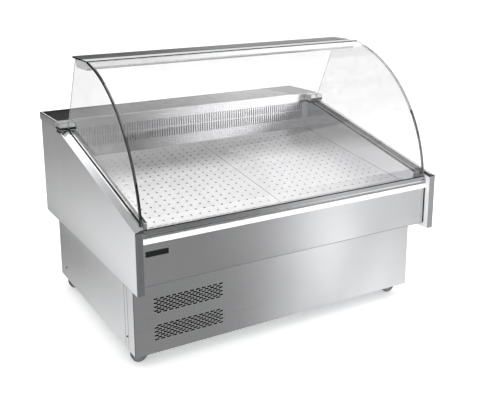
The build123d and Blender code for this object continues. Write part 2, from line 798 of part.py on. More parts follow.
with BuildPart() as lamp_housing:
    with BuildSketch(Plane.YZ.offset(-lamp_half)):
        lamp_face(0)
    extrude(amount=2 * lamp_half)
    with BuildSketch(Plane.YZ.offset(-lamp_half + LAMP_WALL)) as hollow:
        lamp_face(LAMP_WALL)
    extrude(hollow.sketch, amount=2 * (lamp_half - LAMP_WALL), mode=Mode.SUBTRACT)
    block(
        (-lamp_half + LAMP_WALL, lamp_middle[0] - DIFFUSER_DEPTH / 2, lamp_under - FIT),
        (lamp_half - LAMP_WALL, lamp_middle[0] + DIFFUSER_DEPTH / 2, lamp_under + LAMP_WALL + FIT),
        Mode.SUBTRACT,
    )
save(lamp_housing, "lamp_housing")

with BuildPart() as diffuser:
    block(
        (-lamp_half + LAMP_WALL + SEAT, lamp_middle[0] - DIFFUSER_DEPTH / 2 + SEAT, lamp_under),
        (lamp_half - LAMP_WALL - SEAT, lamp_middle[0] + DIFFUSER_DEPTH / 2 - SEAT, lamp_under + DIFFUSER),
    )
save(diffuser, "lamp_diffuser")

# Base cabinet: tray, corner posts and the panels round them
with BuildPart() as tray:
    block(
        (-base_half + SHEET, base_front + SHEET, tray_top - SHEET),
        (base_half - SHEET, base_rear - SHEET, tray_top),
    )
save(tray, "base_tray")

screw_heights = (BASE_BOTTOM + SCREW_RISE, base_top - SCREW_RISE)
front_screw_y = base_front + SCREW_INSET
rear_screw_y = base_rear - SCREW_INSET
side_screws = [(y, z) for y in (front_screw_y, rear_screw_y) for z in screw_heights]
screw_hole = SCREW_RADIUS + RUN


def side_screw_holes(depth):
    for side in (-1, 1):
        for y, z in side_screws:
            rod((side * base_half, y, z), (side * (base_half - depth), y, z), screw_hole, Mode.SUBTRACT)


with BuildPart() as posts:
    for side in (-1, 1):
        wall_x = side * (base_half - SHEET)
        for wall_y, inward in ((base_front + SHEET, 1), (base_rear - SHEET, -1)):
            block(
                (wall_x, wall_y, tray_top),
                (wall_x - side * POST_LEG[0], wall_y + inward * POST_THICK, TUB_BOTTOM),
            )
            block(
                (wall_x, wall_y, tray_top),
                (wall_x - side * POST_THICK, wall_y + inward * POST_LEG[1], TUB_BOTTOM),
            )
    side_screw_holes(SHEET + 2 * POST_THICK)
save(posts, "corner_posts")


def vent(x, z, first, y):
    """Cut one field of staggered slots through a sheet that faces along Y."""
    with BuildSketch(Plane.XZ.offset(-y)) as slots:
        with Locations((x, z)):
            with Locations(*staggered(VENT_COLUMNS, VENT_ROWS, VENT_PITCH, first)):
                SlotOverall(*VENT_SLOT)
    extrude(slots.sketch, amount=2 * SHEET, both=True, mode=Mode.SUBTRACT)


with BuildPart() as base_front_panel:
    block((-base_half, base_front, BASE_BOTTOM), (base_half, base_front + BASE_RETURN, base_top))
    block(
        (-base_half + SHEET, base_front + SHEET, BASE_BOTTOM),
        (base_half - SHEET, base_front + BASE_RETURN, base_top),
        Mode.SUBTRACT,
    )
    for first, z in enumerate(reversed(VENT_HEIGHTS)):
        vent(unit_x, z, first, base_front)
save(base_front_panel, "base_front_panel")

side_front = base_front + BASE_RETURN + BASE_SEAM
for name, side in (("left", -1), ("right", 1)):
    with BuildPart() as base_side:
        block(
            (side * base_half, side_front, BASE_BOTTOM),
            (side * (base_half - SHEET), base_rear - SHEET - FIT, base_top),
        )
        side_screw_holes(2 * SHEET)
    save(base_side, f"base_{name}_panel")

gland_x, gland_z = -half + GLAND_AT[0], GLAND_AT[1]
with BuildPart() as base_rear_panel:
    block((-base_half, base_rear - SHEET, BASE_BOTTOM), (base_half, base_rear, base_top))
    for first, z in enumerate(reversed(VENT_HEIGHTS)):
        vent(-half + REAR_VENT_INSET, z, first, base_rear)
    drain_hole = (drain_x, DRAIN_RUN_Z, DRAIN_PIPE[0] + PIPE_HOLE)
    gland_hole = (gland_x, gland_z, GLAND[0] + RUN)
    for x, z, radius in (drain_hole, gland_hole):
        rod((x, base_rear - 2 * SHEET, z), (x, base_rear, z), radius, Mode.SUBTRACT)
save(base_rear_panel, "base_rear_panel")

with BuildPart() as screws:
    for side in (-1, 1):
        for y, z in side_screws:
            face = side * base_half
            rod((face, y, z), (face + side * SCREW_HEAD[1], y, z), SCREW_HEAD[0])
            rod((face, y, z), (face - side * SCREW_LENGTH, y, z), SCREW_RADIUS)
    outer_rims = screws.edges().filter_by(lambda edge: abs(edge.center().X) > base_half + SCREW_ROUND)
    fillet(outer_rims.filter_by(GeomType.CIRCLE), SCREW_ROUND)
save(screws, "panel_screws")

with BuildPart() as gland:
    inner_end = (gland_x, base_rear - GLAND_NUT[1], gland_z)
    outer_end = (gland_x, base_rear + GLAND[1], gland_z)
    rod(inner_end, outer_end, GLAND[0])
    with BuildSketch(Plane.XZ.offset(-base_rear)) as nut:
        with Locations((gland_x, gland_z)):
            RegularPolygon(GLAND_NUT[0], 6)
    extrude(nut.sketch, amount=-GLAND_NUT[1])
    rod(inner_end, outer_end, GLAND_BORE, Mode.SUBTRACT)
save(gland, "cable_gland")

# Castors: a plate with its kingpin, a fork with its axle, and a wheel
wheel_radius = WHEEL_DIAMETER / 2
plate_top = tray_top - SHEET
plate_low = plate_top - CASTOR_PLATE[1]
race_low = plate_low - BEARING[1]
crown_top = race_low - SEAT
crown_low = crown_top - CROWN
rivet_top = crown_low - SEAT
castors = {
    "front_left": (-1, base_front + CASTOR_INSET[1]),
    "front_right": (1, base_front + CASTOR_INSET[1]),
    "rear_left": (-1, base_rear - CASTOR_INSET[1]),
    "rear_right": (1, base_rear - CASTOR_INSET[1]),
}
castor_x = base_half - CASTOR_INSET[0]

with BuildPart() as castor_plates:
    for side, y in castors.values():
        x = side * castor_x
        reach = CASTOR_PLATE[0] / 2
        block((x - reach, y - reach, plate_low), (x + reach, y + reach, plate_top))
        rod((x, y, race_low), (x, y, plate_low), BEARING[0])
        rod((x, y, rivet_top - CROWN / 2), (x, y, race_low), KINGPIN_RADIUS)
        rod((x, y, rivet_top - CROWN / 2), (x, y, rivet_top), KINGPIN_HEAD)
save(castor_plates, "castor_plates")

leg_in = WHEEL_WIDTH / 2 + FORK_GAP
leg_out = leg_in + FORK_WALL
wheel_half = WHEEL_WIDTH / 2
hub_half = leg_in - SEAT
wheel_section = [
    (hub_half, AXLE_RADIUS + RUN),
    (hub_half, WHEEL_HUB),
    (WHEEL_WEB / 2, WHEEL_HUB + SHEET),
    (WHEEL_WEB / 2, WHEEL_RIM),
    (wheel_half, WHEEL_RIM + SHEET),
    (wheel_half, wheel_radius - WHEEL_BEVEL),
    (wheel_half - WHEEL_BEVEL, wheel_radius),
]
for name, (side, y) in castors.items():
    x = side * castor_x
    axle_x = x + side * TRAIL
    with BuildPart() as fork:
        with BuildSketch(Plane.XZ.offset(-y - leg_out)) as leg_shape:
            with Locations((axle_x, wheel_radius)):
                Circle(FORK_BOSS)
            with Locations((x, crown_top - CROWN / 2)):
                Rectangle(2 * BEARING[0], CROWN)
            make_hull()
        extrude(leg_shape.sketch, amount=2 * leg_out)
        block((x - half, y - leg_in, 0), (x + half, y + leg_in, crown_low), Mode.SUBTRACT)
        rod((axle_x, y - leg_out, wheel_radius), (axle_x, y + leg_out, wheel_radius), AXLE_RADIUS)
        rod((x, y, crown_low), (x, y, crown_top), KINGPIN_RADIUS + RUN, Mode.SUBTRACT)
    save(fork, f"castor_fork_{name}")

    with BuildPart() as wheel:
        with BuildSketch(Plane.YZ.offset(axle_x)) as tread:
            with BuildLine():
                near = [(y + a, wheel_radius + r) for a, r in wheel_section]
                far = [(y - a, wheel_radius + r) for a, r in reversed(wheel_section)]
                Polyline(*near, *far, close=True)
            make_face()
        revolve(tread.sketch, axis=Axis((axle_x, y, wheel_radius), (0, 1, 0)))
    save(wheel, f"castor_wheel_{name}")


def fan_blades(hub_radius, tip_radius, chord_length):
    """Pitched blades round a hub whose axis is the local Z, rooted a little way into it."""
    root = hub_radius - BLADE_ROOT
    with PolarLocations((root + tip_radius) / 2, FAN_BLADES):
        Box(tip_radius - root, chord_length, SHEET, rotation=(BLADE_PITCH, 0, 0))


# Evaporator: fan board, motors on straps, fans and the coil
board_y = step_y + FAN_BOARD_SETBACK
fan_z = floor_rear_z + FAN_RISE
strap_y = board_y + SHEET + MOTOR_STRAP[0]
fan_hole = FAN_RADIUS + FAN_TIP_GAP
with BuildPart() as fan_board:
    with BuildSketch(Plane.XZ.offset(-board_y)):
        with Locations((0, (floor_rear_z + liner_top) / 2)):
            Rectangle(2 * air_half, liner_top - floor_rear_z)
        with Locations((-fan_x, fan_z), (fan_x, fan_z)):
            Circle(fan_hole, mode=Mode.SUBTRACT)
    extrude(amount=-SHEET)
save(fan_board, "evaporator_fan_board")

strap_reach = fan_hole + MOTOR_STRAP[0]
strap_half = MOTOR_STRAP[0] / 2
hub_front = board_y - FAN_HUB[1] / 2
with BuildPart() as fan_motors:
    for x in (-fan_x, fan_x):
        block(
            (x - strap_reach, strap_y, fan_z - strap_half),
            (x + strap_reach, strap_y + MOTOR_STRAP[1], fan_z + strap_half),
        )
        for foot_x in (x - strap_reach, x + strap_reach - MOTOR_STRAP[1]):
            block(
                (foot_x, board_y + SHEET, fan_z - strap_half),
                (foot_x + MOTOR_STRAP[1], strap_y, fan_z + strap_half),
            )
        motor_front = strap_y + MOTOR_STRAP[1]
        rod((x, motor_front, fan_z), (x, motor_front + MOTOR[1], fan_z), MOTOR[0])
        rod((x, hub_front, fan_z), (x, strap_y, fan_z), SHAFT_RADIUS)
save(fan_motors, "evaporator_motors")

for name, x in (("left", -fan_x), ("right", fan_x)):
    fan_middle = (x, hub_front + FAN_HUB[1] / 2, fan_z)
    with BuildPart(Plane(fan_middle, z_dir=(0, -1, 0))) as fan:
        Cylinder(FAN_HUB[0], FAN_HUB[1])
        fan_blades(FAN_HUB[0], FAN_RADIUS, FAN_CHORD)
        Cylinder(SHAFT_RADIUS + RUN, 2 * FAN_HUB[1], mode=Mode.SUBTRACT)
    save(fan, f"evaporator_fan_{name}")

coil_front = step_y + COIL_SETBACK
coil_rear = coil_front + COIL_DEPTH
coil_low = floor_rear_z + COIL_FOOT
with BuildPart() as evaporator:
    block((-coil_half, coil_front, coil_low), (coil_half, coil_rear, coil_low + COIL_HEIGHT))
    for side in (-1, 1):
        block(
            (side * coil_half, coil_front - SHEET, floor_rear_z),
            (side * (coil_half + SHEET), coil_rear + SHEET, coil_low + COIL_HEIGHT + SHEET),
        )
save(evaporator, "evaporator_coil")

# Condensing unit: coil, shroud, motor, fan, compressor and receiver
unit_front = base_front + CONDENSER_SETBACK
unit_rear = unit_front + CONDENSER[1]
unit_low_x = unit_x - CONDENSER[0] / 2
unit_high_x = unit_x + CONDENSER[0] / 2
unit_top = tray_top + CONDENSER[2]
unit_fan_z = tray_top + CONDENSER[2] / 2
with BuildPart() as condenser:
    block((unit_low_x, unit_front, tray_top), (unit_high_x, unit_rear, unit_top))
save(condenser, "condenser_coil")

shroud_rear = unit_rear + SHROUD_DEPTH
with BuildPart() as shroud:
    block((unit_low_x, unit_rear, tray_top), (unit_high_x, shroud_rear, unit_top))
    block(
        (unit_low_x + SHEET, unit_rear, tray_top + SHEET),
        (unit_high_x - SHEET, shroud_rear - SHEET, unit_top - SHEET),
        Mode.SUBTRACT,
    )
    rod(
        (unit_x, unit_rear, unit_fan_z),
        (unit_x, shroud_rear, unit_fan_z),
        UNIT_FAN_RADIUS + FAN_TIP_GAP,
        Mode.SUBTRACT,
    )
save(shroud, "condenser_shroud")

unit_strap_y = shroud_rear + MOTOR_STRAP[0]
unit_reach = UNIT_FAN_RADIUS + FAN_TIP_GAP + MOTOR_STRAP[0]
unit_motor_y = unit_strap_y + MOTOR_STRAP[1]
unit_hub_front = shroud_rear - UNIT_FAN_HUB[1]
with BuildPart() as unit_motor:
    block(
        (unit_x - unit_reach, unit_strap_y, unit_fan_z - strap_half),
        (unit_x + unit_reach, unit_motor_y, unit_fan_z + strap_half),
    )
    for foot_x in (unit_x - unit_reach, unit_x + unit_reach - MOTOR_STRAP[1]):
        block(
            (foot_x, shroud_rear, unit_fan_z - strap_half),
            (foot_x + MOTOR_STRAP[1], unit_strap_y, unit_fan_z + strap_half),
        )
    unit_motor_end = unit_motor_y + UNIT_MOTOR[1]
    rod((unit_x, unit_motor_y, unit_fan_z), (unit_x, unit_motor_end, unit_fan_z), UNIT_MOTOR[0])
    rod((unit_x, unit_hub_front, unit_fan_z), (unit_x, unit_strap_y, unit_fan_z), SHAFT_RADIUS)
save(unit_motor, "condenser_motor")

unit_fan_middle = (unit_x, shroud_rear - UNIT_FAN_HUB[1] / 2, unit_fan_z)
with BuildPart(Plane(unit_fan_middle, z_dir=(0, -1, 0))) as unit_fan:
    Cylinder(UNIT_FAN_HUB[0], UNIT_FAN_HUB[1])
    fan_blades(UNIT_FAN_HUB[0], UNIT_FAN_RADIUS, UNIT_FAN_CHORD)
    Cylinder(SHAFT_RADIUS + RUN, 2 * UNIT_FAN_HUB[1], mode=Mode.SUBTRACT)
save(unit_fan, "condenser_fan")

shell_low = tray_top + COMPRESSOR_PAD[1] + COMPRESSOR_FOOT[2]
shell_top = shell_low + COMPRESSOR_HEIGHT
with BuildPart() as compressor:
    rod((unit_x, compressor_y, shell_low), (unit_x, compressor_y, shell_top), COMPRESSOR_RADIUS)
    fillet(compressor.faces().sort_by(Axis.Z)[-1].edges(), COMPRESSOR_RADIUS / 2)
    foot_x, foot_y = COMPRESSOR_FOOT[0] / 2, COMPRESSOR_FOOT[1] / 2
    block(
        (unit_x - foot_x, compressor_y - foot_y, shell_low - COMPRESSOR_FOOT[2]),
        (unit_x + foot_x, compressor_y + foot_y, shell_low),
    )
    for side in (-1, 1):
        for end in (-1, 1):
            pad_x = unit_x + side * (foot_x - COMPRESSOR_PAD[0])
            pad_y = compressor_y + end * (foot_y - COMPRESSOR_PAD[0])
            rod((pad_x, pad_y, tray_top), (pad_x, pad_y, shell_low), COMPRESSOR_PAD[0])
save(compressor, "compressor")

receiver_top = tray_top + RECEIVER[1]
with BuildPart() as receiver:
    rod((receiver_x, receiver_y, tray_top), (receiver_x, receiver_y, receiver_top), RECEIVER[0])
    fillet(receiver.faces().sort_by(Axis.Z)[-1].edges(), RECEIVER[0] / 3)
save(receiver, "liquid_receiver")

# Refrigerant pipes between compressor, condenser, receiver and evaporator
port_z = shell_low + COMPRESSOR_HEIGHT / 2
coil_end = -coil_half - SHEET
liquid_level = receiver_top + 2 * PIPE_BEND
suction_in_z = coil_low + HEADER_RISE[1]
liquid_in_z = coil_low + HEADER_RISE[0]
unit_side = unit_high_x + 2 * PIPE_BEND
unit_port_y = (unit_front + unit_rear) / 2
discharge_z = unit_top - 2 * PIPE_BEND
condensate_z = tray_top + PIPE_BEND
suction_route = [
    (unit_x, compressor_y + COMPRESSOR_RADIUS, port_z),
    (unit_x, compressor_y + COMPRESSOR_RADIUS + 3 * PIPE_BEND, port_z),
    (suction_x, compressor_y + COMPRESSOR_RADIUS + 3 * PIPE_BEND, port_z),
    (suction_x, suction_y, port_z),
    (suction_x, suction_y, suction_in_z),
    (coil_end, suction_y, suction_in_z),
]
liquid_route = [
    (receiver_x, receiver_y, receiver_top),
    (receiver_x, receiver_y, liquid_level),
    (receiver_x, liquid_y, liquid_level),
    (liquid_x, liquid_y, liquid_level),
    (liquid_x, liquid_y, liquid_in_z),
    (coil_end, liquid_y, liquid_in_z),
]
discharge_route = [
    (unit_x + COMPRESSOR_RADIUS, compressor_y, port_z),
    (unit_side, compressor_y, port_z),
    (unit_side, compressor_y, discharge_z),
    (unit_side, unit_port_y, discharge_z),
    (unit_high_x, unit_port_y, discharge_z),
]
condensate_route = [
    (unit_high_x, unit_port_y, condensate_z),
    (receiver_x, unit_port_y, condensate_z),
    (receiver_x, receiver_y - RECEIVER[0], condensate_z),
]
with BuildPart() as pipes:
    tube(suction_route, SUCTION_PIPE, PIPE_BEND)
    tube(liquid_route, LIQUID_PIPE, PIPE_BEND)
    tube(discharge_route, LIQUID_PIPE, PIPE_BEND)
    tube(condensate_route, LIQUID_PIPE, PIPE_BEND)
save(pipes, "refrigerant_pipes")

# Drain: a pipe from the low line of the floor to a valve behind the base
drain_z = floor_z(drain_y)
valve_front = base_rear + FIT
valve_rear = valve_front + VALVE[1]
valve_y = (valve_front + valve_rear) / 2
stem_low = DRAIN_RUN_Z + VALVE[0]
stem_top = stem_low + STEM[1]
drain_route = [
    (drain_x, drain_y, drain_z),
    (drain_x, drain_y, DRAIN_RUN_Z),
    (drain_x, valve_rear + DRAIN_PIPE[0], DRAIN_RUN_Z),
]
with BuildPart() as drain:
    tube(drain_route, DRAIN_PIPE[0], DRAIN_BEND)
    rod((drain_x, valve_front, DRAIN_RUN_Z), (drain_x, valve_rear, DRAIN_RUN_Z), VALVE[0])
    rod((drain_x, valve_y, DRAIN_RUN_Z), (drain_x, valve_y, stem_top), STEM[0])
    spigot_end = (drain_x, valve_rear + DRAIN_PIPE[0], DRAIN_RUN_Z)
    rod((drain_x, valve_y, DRAIN_RUN_Z), spigot_end, DRAIN_PIPE[1], Mode.SUBTRACT)
    rod((drain_x, drain_y, drain_z - VALVE[1]), (drain_x, drain_y, drain_z), DRAIN_PIPE[1], Mode.SUBTRACT)
save(drain, "drain_pipe")

lever_low = stem_top - LEVER[2] * 2
lever_collar = STEM[0] + RUN + CHANNEL_FLOOR
with BuildPart() as lever:
    with BuildSketch(Plane.XY.offset(lever_low)) as lever_shape:
        with Locations((drain_x, valve_y)):
            Circle(lever_collar)
        with Locations((drain_x + LEVER[0] / 2, valve_y)):
            SlotOverall(LEVER[0], LEVER[1])
        with Locations((drain_x, valve_y)):
            Circle(STEM[0] + RUN, mode=Mode.SUBTRACT)
    extrude(lever_shape.sketch, amount=LEVER[2])
save(lever, "drain_lever")

# Control panel with its keys and lamp switch
bezel_face = panel_rear + BEZEL[2]
switch_y = bezel_face + SWITCH_PROUD - SWITCH[1]
key_seat = bezel_face - KEY_RADIUS
with BuildPart() as control_panel:
    with BuildSketch(Plane.XZ.offset(-panel_rear)) as bezel_shape:
        with Locations((control_x, control_z)):
            RectangleRounded(BEZEL[0], BEZEL[1], BEZEL_ROUND)
    extrude(bezel_shape.sketch, amount=-BEZEL[2])
    fillet(control_panel.faces().sort_by(Axis.Y)[-1].edges(), BEZEL[2] / 4)
    control_box(CONTROL_BOX[2], 0, Mode.ADD)
    block(
        (control_x + DISPLAY_X - DISPLAY[0] / 2, bezel_face - DISPLAY[2], control_z - DISPLAY[1] / 2),
        (control_x + DISPLAY_X + DISPLAY[0] / 2, bezel_face, control_z + DISPLAY[1] / 2),
        Mode.SUBTRACT,
    )
    for key_x in KEY_X.values():
        rod(
            (control_x + key_x, key_seat - KEY_TRAVEL, control_z),
            (control_x + key_x, bezel_face, control_z),
            KEY_RADIUS + SEAT,
            Mode.SUBTRACT,
        )
    pocket = SWITCH[1] + SEAT
    block(
        (control_x + SWITCH_X - SWITCH[0] - SEAT, switch_y - pocket, control_z - pocket),
        (control_x + SWITCH_X + SWITCH[0] + SEAT, bezel_face, control_z + pocket),
        Mode.SUBTRACT,
    )
save(control_panel, "control_panel")

for name, key_x in KEY_X.items():
    with BuildPart() as key:
        rod(
            (control_x + key_x, key_seat, control_z),
            (control_x + key_x, bezel_face + KEY_PROUD, control_z),
            KEY_RADIUS,
        )
        fillet(key.edges().sort_by(Axis.Y)[-1], KEY_PROUD / 3)
    save(key, name)

with BuildPart() as lamp_switch:
    rocker_x = control_x + SWITCH_X
    rod((rocker_x - SWITCH[0], switch_y, control_z), (rocker_x + SWITCH[0], switch_y, control_z), SWITCH[1])
    flat = [
        (switch_y + SWITCH[1], control_z - SWITCH[1]),
        (switch_y + SWITCH[1], control_z + SWITCH[1]),
        (switch_y + SWITCH[1] - SWITCH_DIP, control_z),
    ]
    prism(flat, rocker_x - 2 * SWITCH[0], rocker_x + 2 * SWITCH[0], Mode.SUBTRACT)
save(lamp_switch, "lamp_switch")
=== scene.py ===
# %% [markdown]
# # A refrigerated serve-over counter
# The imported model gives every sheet, tube, glass and castor at its real size, in metres. This lesson
# dresses it: it gives each piece the finish of its real material, adds the small things that repeat, and
# sets a plain studio.

# %% Load the frame and keep its box
import bmesh
import bpy
from math import asin, cos, pi, radians, sin, sqrt, tan
from mathutils import Matrix, Vector


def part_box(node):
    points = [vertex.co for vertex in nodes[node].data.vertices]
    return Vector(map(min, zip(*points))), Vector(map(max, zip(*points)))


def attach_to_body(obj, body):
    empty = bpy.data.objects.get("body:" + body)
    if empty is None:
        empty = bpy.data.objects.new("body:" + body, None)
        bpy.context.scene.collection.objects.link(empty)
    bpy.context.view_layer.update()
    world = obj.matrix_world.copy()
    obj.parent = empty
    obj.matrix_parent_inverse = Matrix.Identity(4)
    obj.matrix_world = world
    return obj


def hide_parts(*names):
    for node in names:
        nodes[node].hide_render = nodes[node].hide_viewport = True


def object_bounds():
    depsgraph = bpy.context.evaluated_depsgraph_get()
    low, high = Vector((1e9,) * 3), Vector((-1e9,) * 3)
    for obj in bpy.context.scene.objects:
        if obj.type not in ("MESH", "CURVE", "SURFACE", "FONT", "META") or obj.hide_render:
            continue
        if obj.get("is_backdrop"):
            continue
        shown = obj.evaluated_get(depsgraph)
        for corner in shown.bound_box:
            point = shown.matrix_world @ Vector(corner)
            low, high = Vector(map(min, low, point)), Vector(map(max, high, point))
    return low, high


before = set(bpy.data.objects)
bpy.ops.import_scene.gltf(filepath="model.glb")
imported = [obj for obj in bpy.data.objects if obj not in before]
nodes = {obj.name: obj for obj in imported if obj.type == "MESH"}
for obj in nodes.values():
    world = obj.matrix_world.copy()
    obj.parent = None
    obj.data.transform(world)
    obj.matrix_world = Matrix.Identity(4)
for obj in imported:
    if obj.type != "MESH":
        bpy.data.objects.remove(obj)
scene = bpy.context.scene
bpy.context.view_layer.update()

# %% [markdown]
# ## Two small tools for node trees
# Colours are picked as sRGB hex values, as in any paint program, but shaders work with linear light, so
# one function turns them, with the constants of the sRGB standard. The other adds a node, sets it up and
# links it, which keeps each recipe short enough to read. It serves shader trees and geometry trees alike.


# %% Colour and node tools
def linear(hex_code):
    parts = [int(hex_code[i : i + 2], 16) / 255 for i in (1, 3, 5)]
    return tuple(c / 12.92 if c <= 0.04045 else ((c + 0.055) / 1.055) ** 2.4 for c in parts) + (1.0,)


def add_node(tree, kind, links, **settings):
    node = tree.nodes.new(kind)
    for key, value in settings.items():
        setattr(node, key, value)
    for key, value in links.items():
        if isinstance(value, bpy.types.NodeSocket):
            tree.links.new(value, node.inputs[key])
        else:
            node.inputs[key].default_value = value
    return node


print("mid grey in linear light", linear("#808080")[0])

# %% [markdown]
# ## One recipe, many finishes
# Nearly every surface here is one base finish with two irregularities: a fine mark left by the way it was
# made (brushing, moulding, plating) and a broad cloud left by handling. The recipe takes the size of both
# in millimetres, so a finish is described by numbers that could be measured on the real thing. The two are
# added and steer the colour and the roughness a little, and the fine one raises a bump. Folded sheet is
# never sharp, so a finish can round its edges with a Bevel node, which bends the shading and leaves the
# mesh alone. A finish can also lean: a height that grows along Z, read by a bump of its own, tips the
# shading as a sheet that leans back would.

# %% The finish recipe
MM_IN_METRE = 1000
GRAIN_DETAIL, CLOUD_DETAIL, CLOUD_ROUGHNESS = 4.0, 3.0, 0.55
SUM_LOW, SUM_HIGH = 0.65, 1.35
BUMP_STRENGTH = 0.6
BEND_SAMPLES = 6


def finish(
    name,
    dark,
    light,
    rough,
    grain_mm,
    cloud_mm,
    bump_mm=0.0,
    bend_mm=0.0,
    lean_deg=0.0,
    cells=False,
    metal=0.0,
    **sockets,
):
    material = bpy.data.materials.new(name)
    material.use_nodes = True
    tree = material.node_tree
    shader = tree.nodes["Principled BSDF"]
    place = add_node(tree, "ShaderNodeTexCoord", {}).outputs["Object"]
    scale = [MM_IN_METRE / size for size in grain_mm]
    sized = add_node(tree, "ShaderNodeMapping", {"Vector": place, "Scale": scale}).outputs["Vector"]
    if cells:
        fine = add_node(tree, "ShaderNodeTexVoronoi", {"Vector": sized, "Scale": 1.0}).outputs["Color"]
    else:
        grain = {"Vector": sized, "Scale": 1.0, "Detail": GRAIN_DETAIL}
        fine = add_node(tree, "ShaderNodeTexNoise", grain).outputs["Fac"]
    cloud = add_node(
        tree,
        "ShaderNodeTexNoise",
        {
            "Vector": place,
            "Scale": MM_IN_METRE / cloud_mm,
            "Detail": CLOUD_DETAIL,
            "Roughness": CLOUD_ROUGHNESS,
        },
    )
    both = add_node(tree, "ShaderNodeMath", {0: fine, 1: cloud.outputs["Fac"]}, operation="ADD")
    span = {"Value": both.outputs[0], "From Min": SUM_LOW, "From Max": SUM_HIGH}
    share = add_node(tree, "ShaderNodeMapRange", span).outputs["Result"]
    ramp = add_node(tree, "ShaderNodeValToRGB", {"Fac": share})
    ramp.color_ramp.elements[0].color = linear(dark)
    ramp.color_ramp.elements[1].color = linear(light)
    tree.links.new(ramp.outputs["Color"], shader.inputs["Base Color"])
    spread = add_node(
        tree, "ShaderNodeMapRange", {"Value": share, "To Min": rough[0], "To Max": rough[1]}
    )
    tree.links.new(spread.outputs["Result"], shader.inputs["Roughness"])
    if bump_mm:
        ridge = {"Height": fine, "Distance": bump_mm / MM_IN_METRE, "Strength": BUMP_STRENGTH}
        bump = add_node(tree, "ShaderNodeBump", ridge)
        tree.links.new(bump.outputs["Normal"], shader.inputs["Normal"])
        if bend_mm:
            radius = {"Radius": bend_mm / MM_IN_METRE}
            bend = add_node(tree, "ShaderNodeBevel", radius, samples=BEND_SAMPLES)
            tree.links.new(bend.outputs["Normal"], bump.inputs["Normal"])
        if lean_deg:
            axes = add_node(tree, "ShaderNodeSeparateXYZ", {"Vector": place})
            slope = {0: axes.outputs["Z"], 1: -tan(radians(lean_deg))}
            rise = add_node(tree, "ShaderNodeMath", slope, operation="MULTIPLY").outputs[0]
            lean = add_node(tree, "ShaderNodeBump", {"Height": rise, "Distance": 1.0, "Strength": 1.0})
            tree.links.new(lean.outputs["Normal"], bump.inputs["Normal"])
    shader.inputs["Metallic"].default_value = metal
    for key, value in sockets.items():
        shader.inputs[key].default_value = value
    return material


print("a finish takes its grain, cloud and bump in millimetres")

# %% [markdown]
# ## Stainless steel
# Stainless sheet (type 304) is brushed with a belt, so its scratches run one way: along the counter on the
# long panels and from front to back on the ends. Real scratches are a tenth of a millimetre apart, too
# fine for the picture, so they are drawn two millimetres apart. One steel looks different from place to
# place, by how fine the belt was and how the sheet was cut and folded, so it gets six finishes. Two of them
# also carry painted light: the well's is paler, a painted light, and the rear sheet's darker, a painted
# shade.

# %% Stainless finishes
BRUSH_LONG = 420.0
BRUSH_ACROSS = 2.0
BEND_MM = 3.0
REAR_LEAN = 8.0
along_x = (BRUSH_LONG, BRUSH_ACROSS, BRUSH_ACROSS)
along_y = (BRUSH_ACROSS, BRUSH_LONG, BRUSH_ACROSS)
# Long streaks and soft folded edges
stainless_long = finish(
    "brushed_stainless_long", "#c6c6c8", "#cecfd0", (0.21, 0.26), along_x, 260, 0.002, BEND_MM, metal=1.0
)
# The same sheet, streaked from front to back
stainless_deep = finish(
    "brushed_stainless_deep", "#c6c6c8", "#cecfd0", (0.19, 0.24), along_y, 260, 0.002, BEND_MM, metal=1.0
)
# Finer belt, so the worktop mirrors more sharply and darker
stainless_top = finish(
    "brushed_stainless_top", "#b4b4b6", "#bebfc0", (0.15, 0.19), along_x, 260, 0.001, metal=1.0
)
# Coarser belt, so the well looks even; it is also paler than the other steel, painted light for the lamp's
# light in the well
stainless_well_painted_light = finish(
    "brushed_stainless_well", "#d8d8da", "#e0e0e1", (0.32, 0.40), along_x, 180, 0.003, metal=1.0
)
# Cut edges ground by hand, dull and darker; the same finish is also painted shade on the fascia's foot and
# the liner's rim
stainless_edge_and_shade = finish(
    "ground_stainless_edge", "#9fa0a2", "#abacae", (0.34, 0.42), (2, 2, 300), 120, 0.002, BEND_MM, metal=1.0
)
# A sheet that leans back and mirrors what stands before the counter, darker than the other steel as a
# painted shade
stainless_rear_painted_shade = finish(
    "brushed_stainless_rear",
    "#b9b9bb",
    "#c2c2c4",
    (0.22, 0.28),
    along_x,
    140,
    0.001,
    lean_deg=REAR_LEAN,
    metal=1.0,
)
print("stainless ready, brushed", BRUSH_ACROSS, "mm apart")

# %% [markdown]
# ## Other metals
# Extruded aluminium is etched and anodised, clear, bright, grey or dark, or blasted with beads to a soft
# white. Zinc plating shows faint spangles, copper tube darkens in patches, and the condenser's fins are
# dipped in black epoxy against corrosion.

# %% Aluminium, zinc and copper finishes
DRAWN_X, DRAWN_Y = (300, 2, 2), (2, 300, 2)
# Bead-blasted: white and matt, with no mirror image
blasted_aluminium = finish(
    "blasted_aluminium", "#e4e5e6", "#edeeee", (0.70, 0.82), (1.5, 1.5, 1.5), 120, 0.004, metal=1.0
)
# Etched and clear anodised: a soft satin
satin_aluminium = finish(
    "satin_anodised_aluminium", "#d4d5d6", "#dedfe0", (0.30, 0.36), DRAWN_X, 150, 0.001, metal=1.0
)
# Polished and clear anodised: nearly a mirror
bright_aluminium = finish(
    "bright_anodised_aluminium", "#d4d5d6", "#dedfe0", (0.12, 0.16), DRAWN_Y, 150, 0.001, metal=1.0
)
# Tinted in the bath: satin in a middle grey
grey_aluminium = finish(
    "grey_anodised_aluminium", "#a6a7a8", "#b2b3b4", (0.24, 0.30), DRAWN_X, 150, 0.001, metal=1.0
)
# Tinted longer: a dark plate with a clear gloss
dark_aluminium = finish(
    "dark_anodised_aluminium", "#626366", "#6e6f72", (0.18, 0.24), DRAWN_X, 200, 0.001, metal=1.0
)
# Oxide on screw heads: dark with worn spots
blackened_steel = finish(
    "blackened_screw_steel", "#37383a", "#4a4b4d", (0.30, 0.42), (3, 3, 3), 20, 0.004, metal=1.0
)
# Zinc crystals: a patchwork of slightly different greys
zinc_plate = finish(
    "zinc_plated_steel", "#a3a6a8", "#bcbfc1", (0.30, 0.48), (7, 7, 7), 60, cells=True, metal=1.0
)
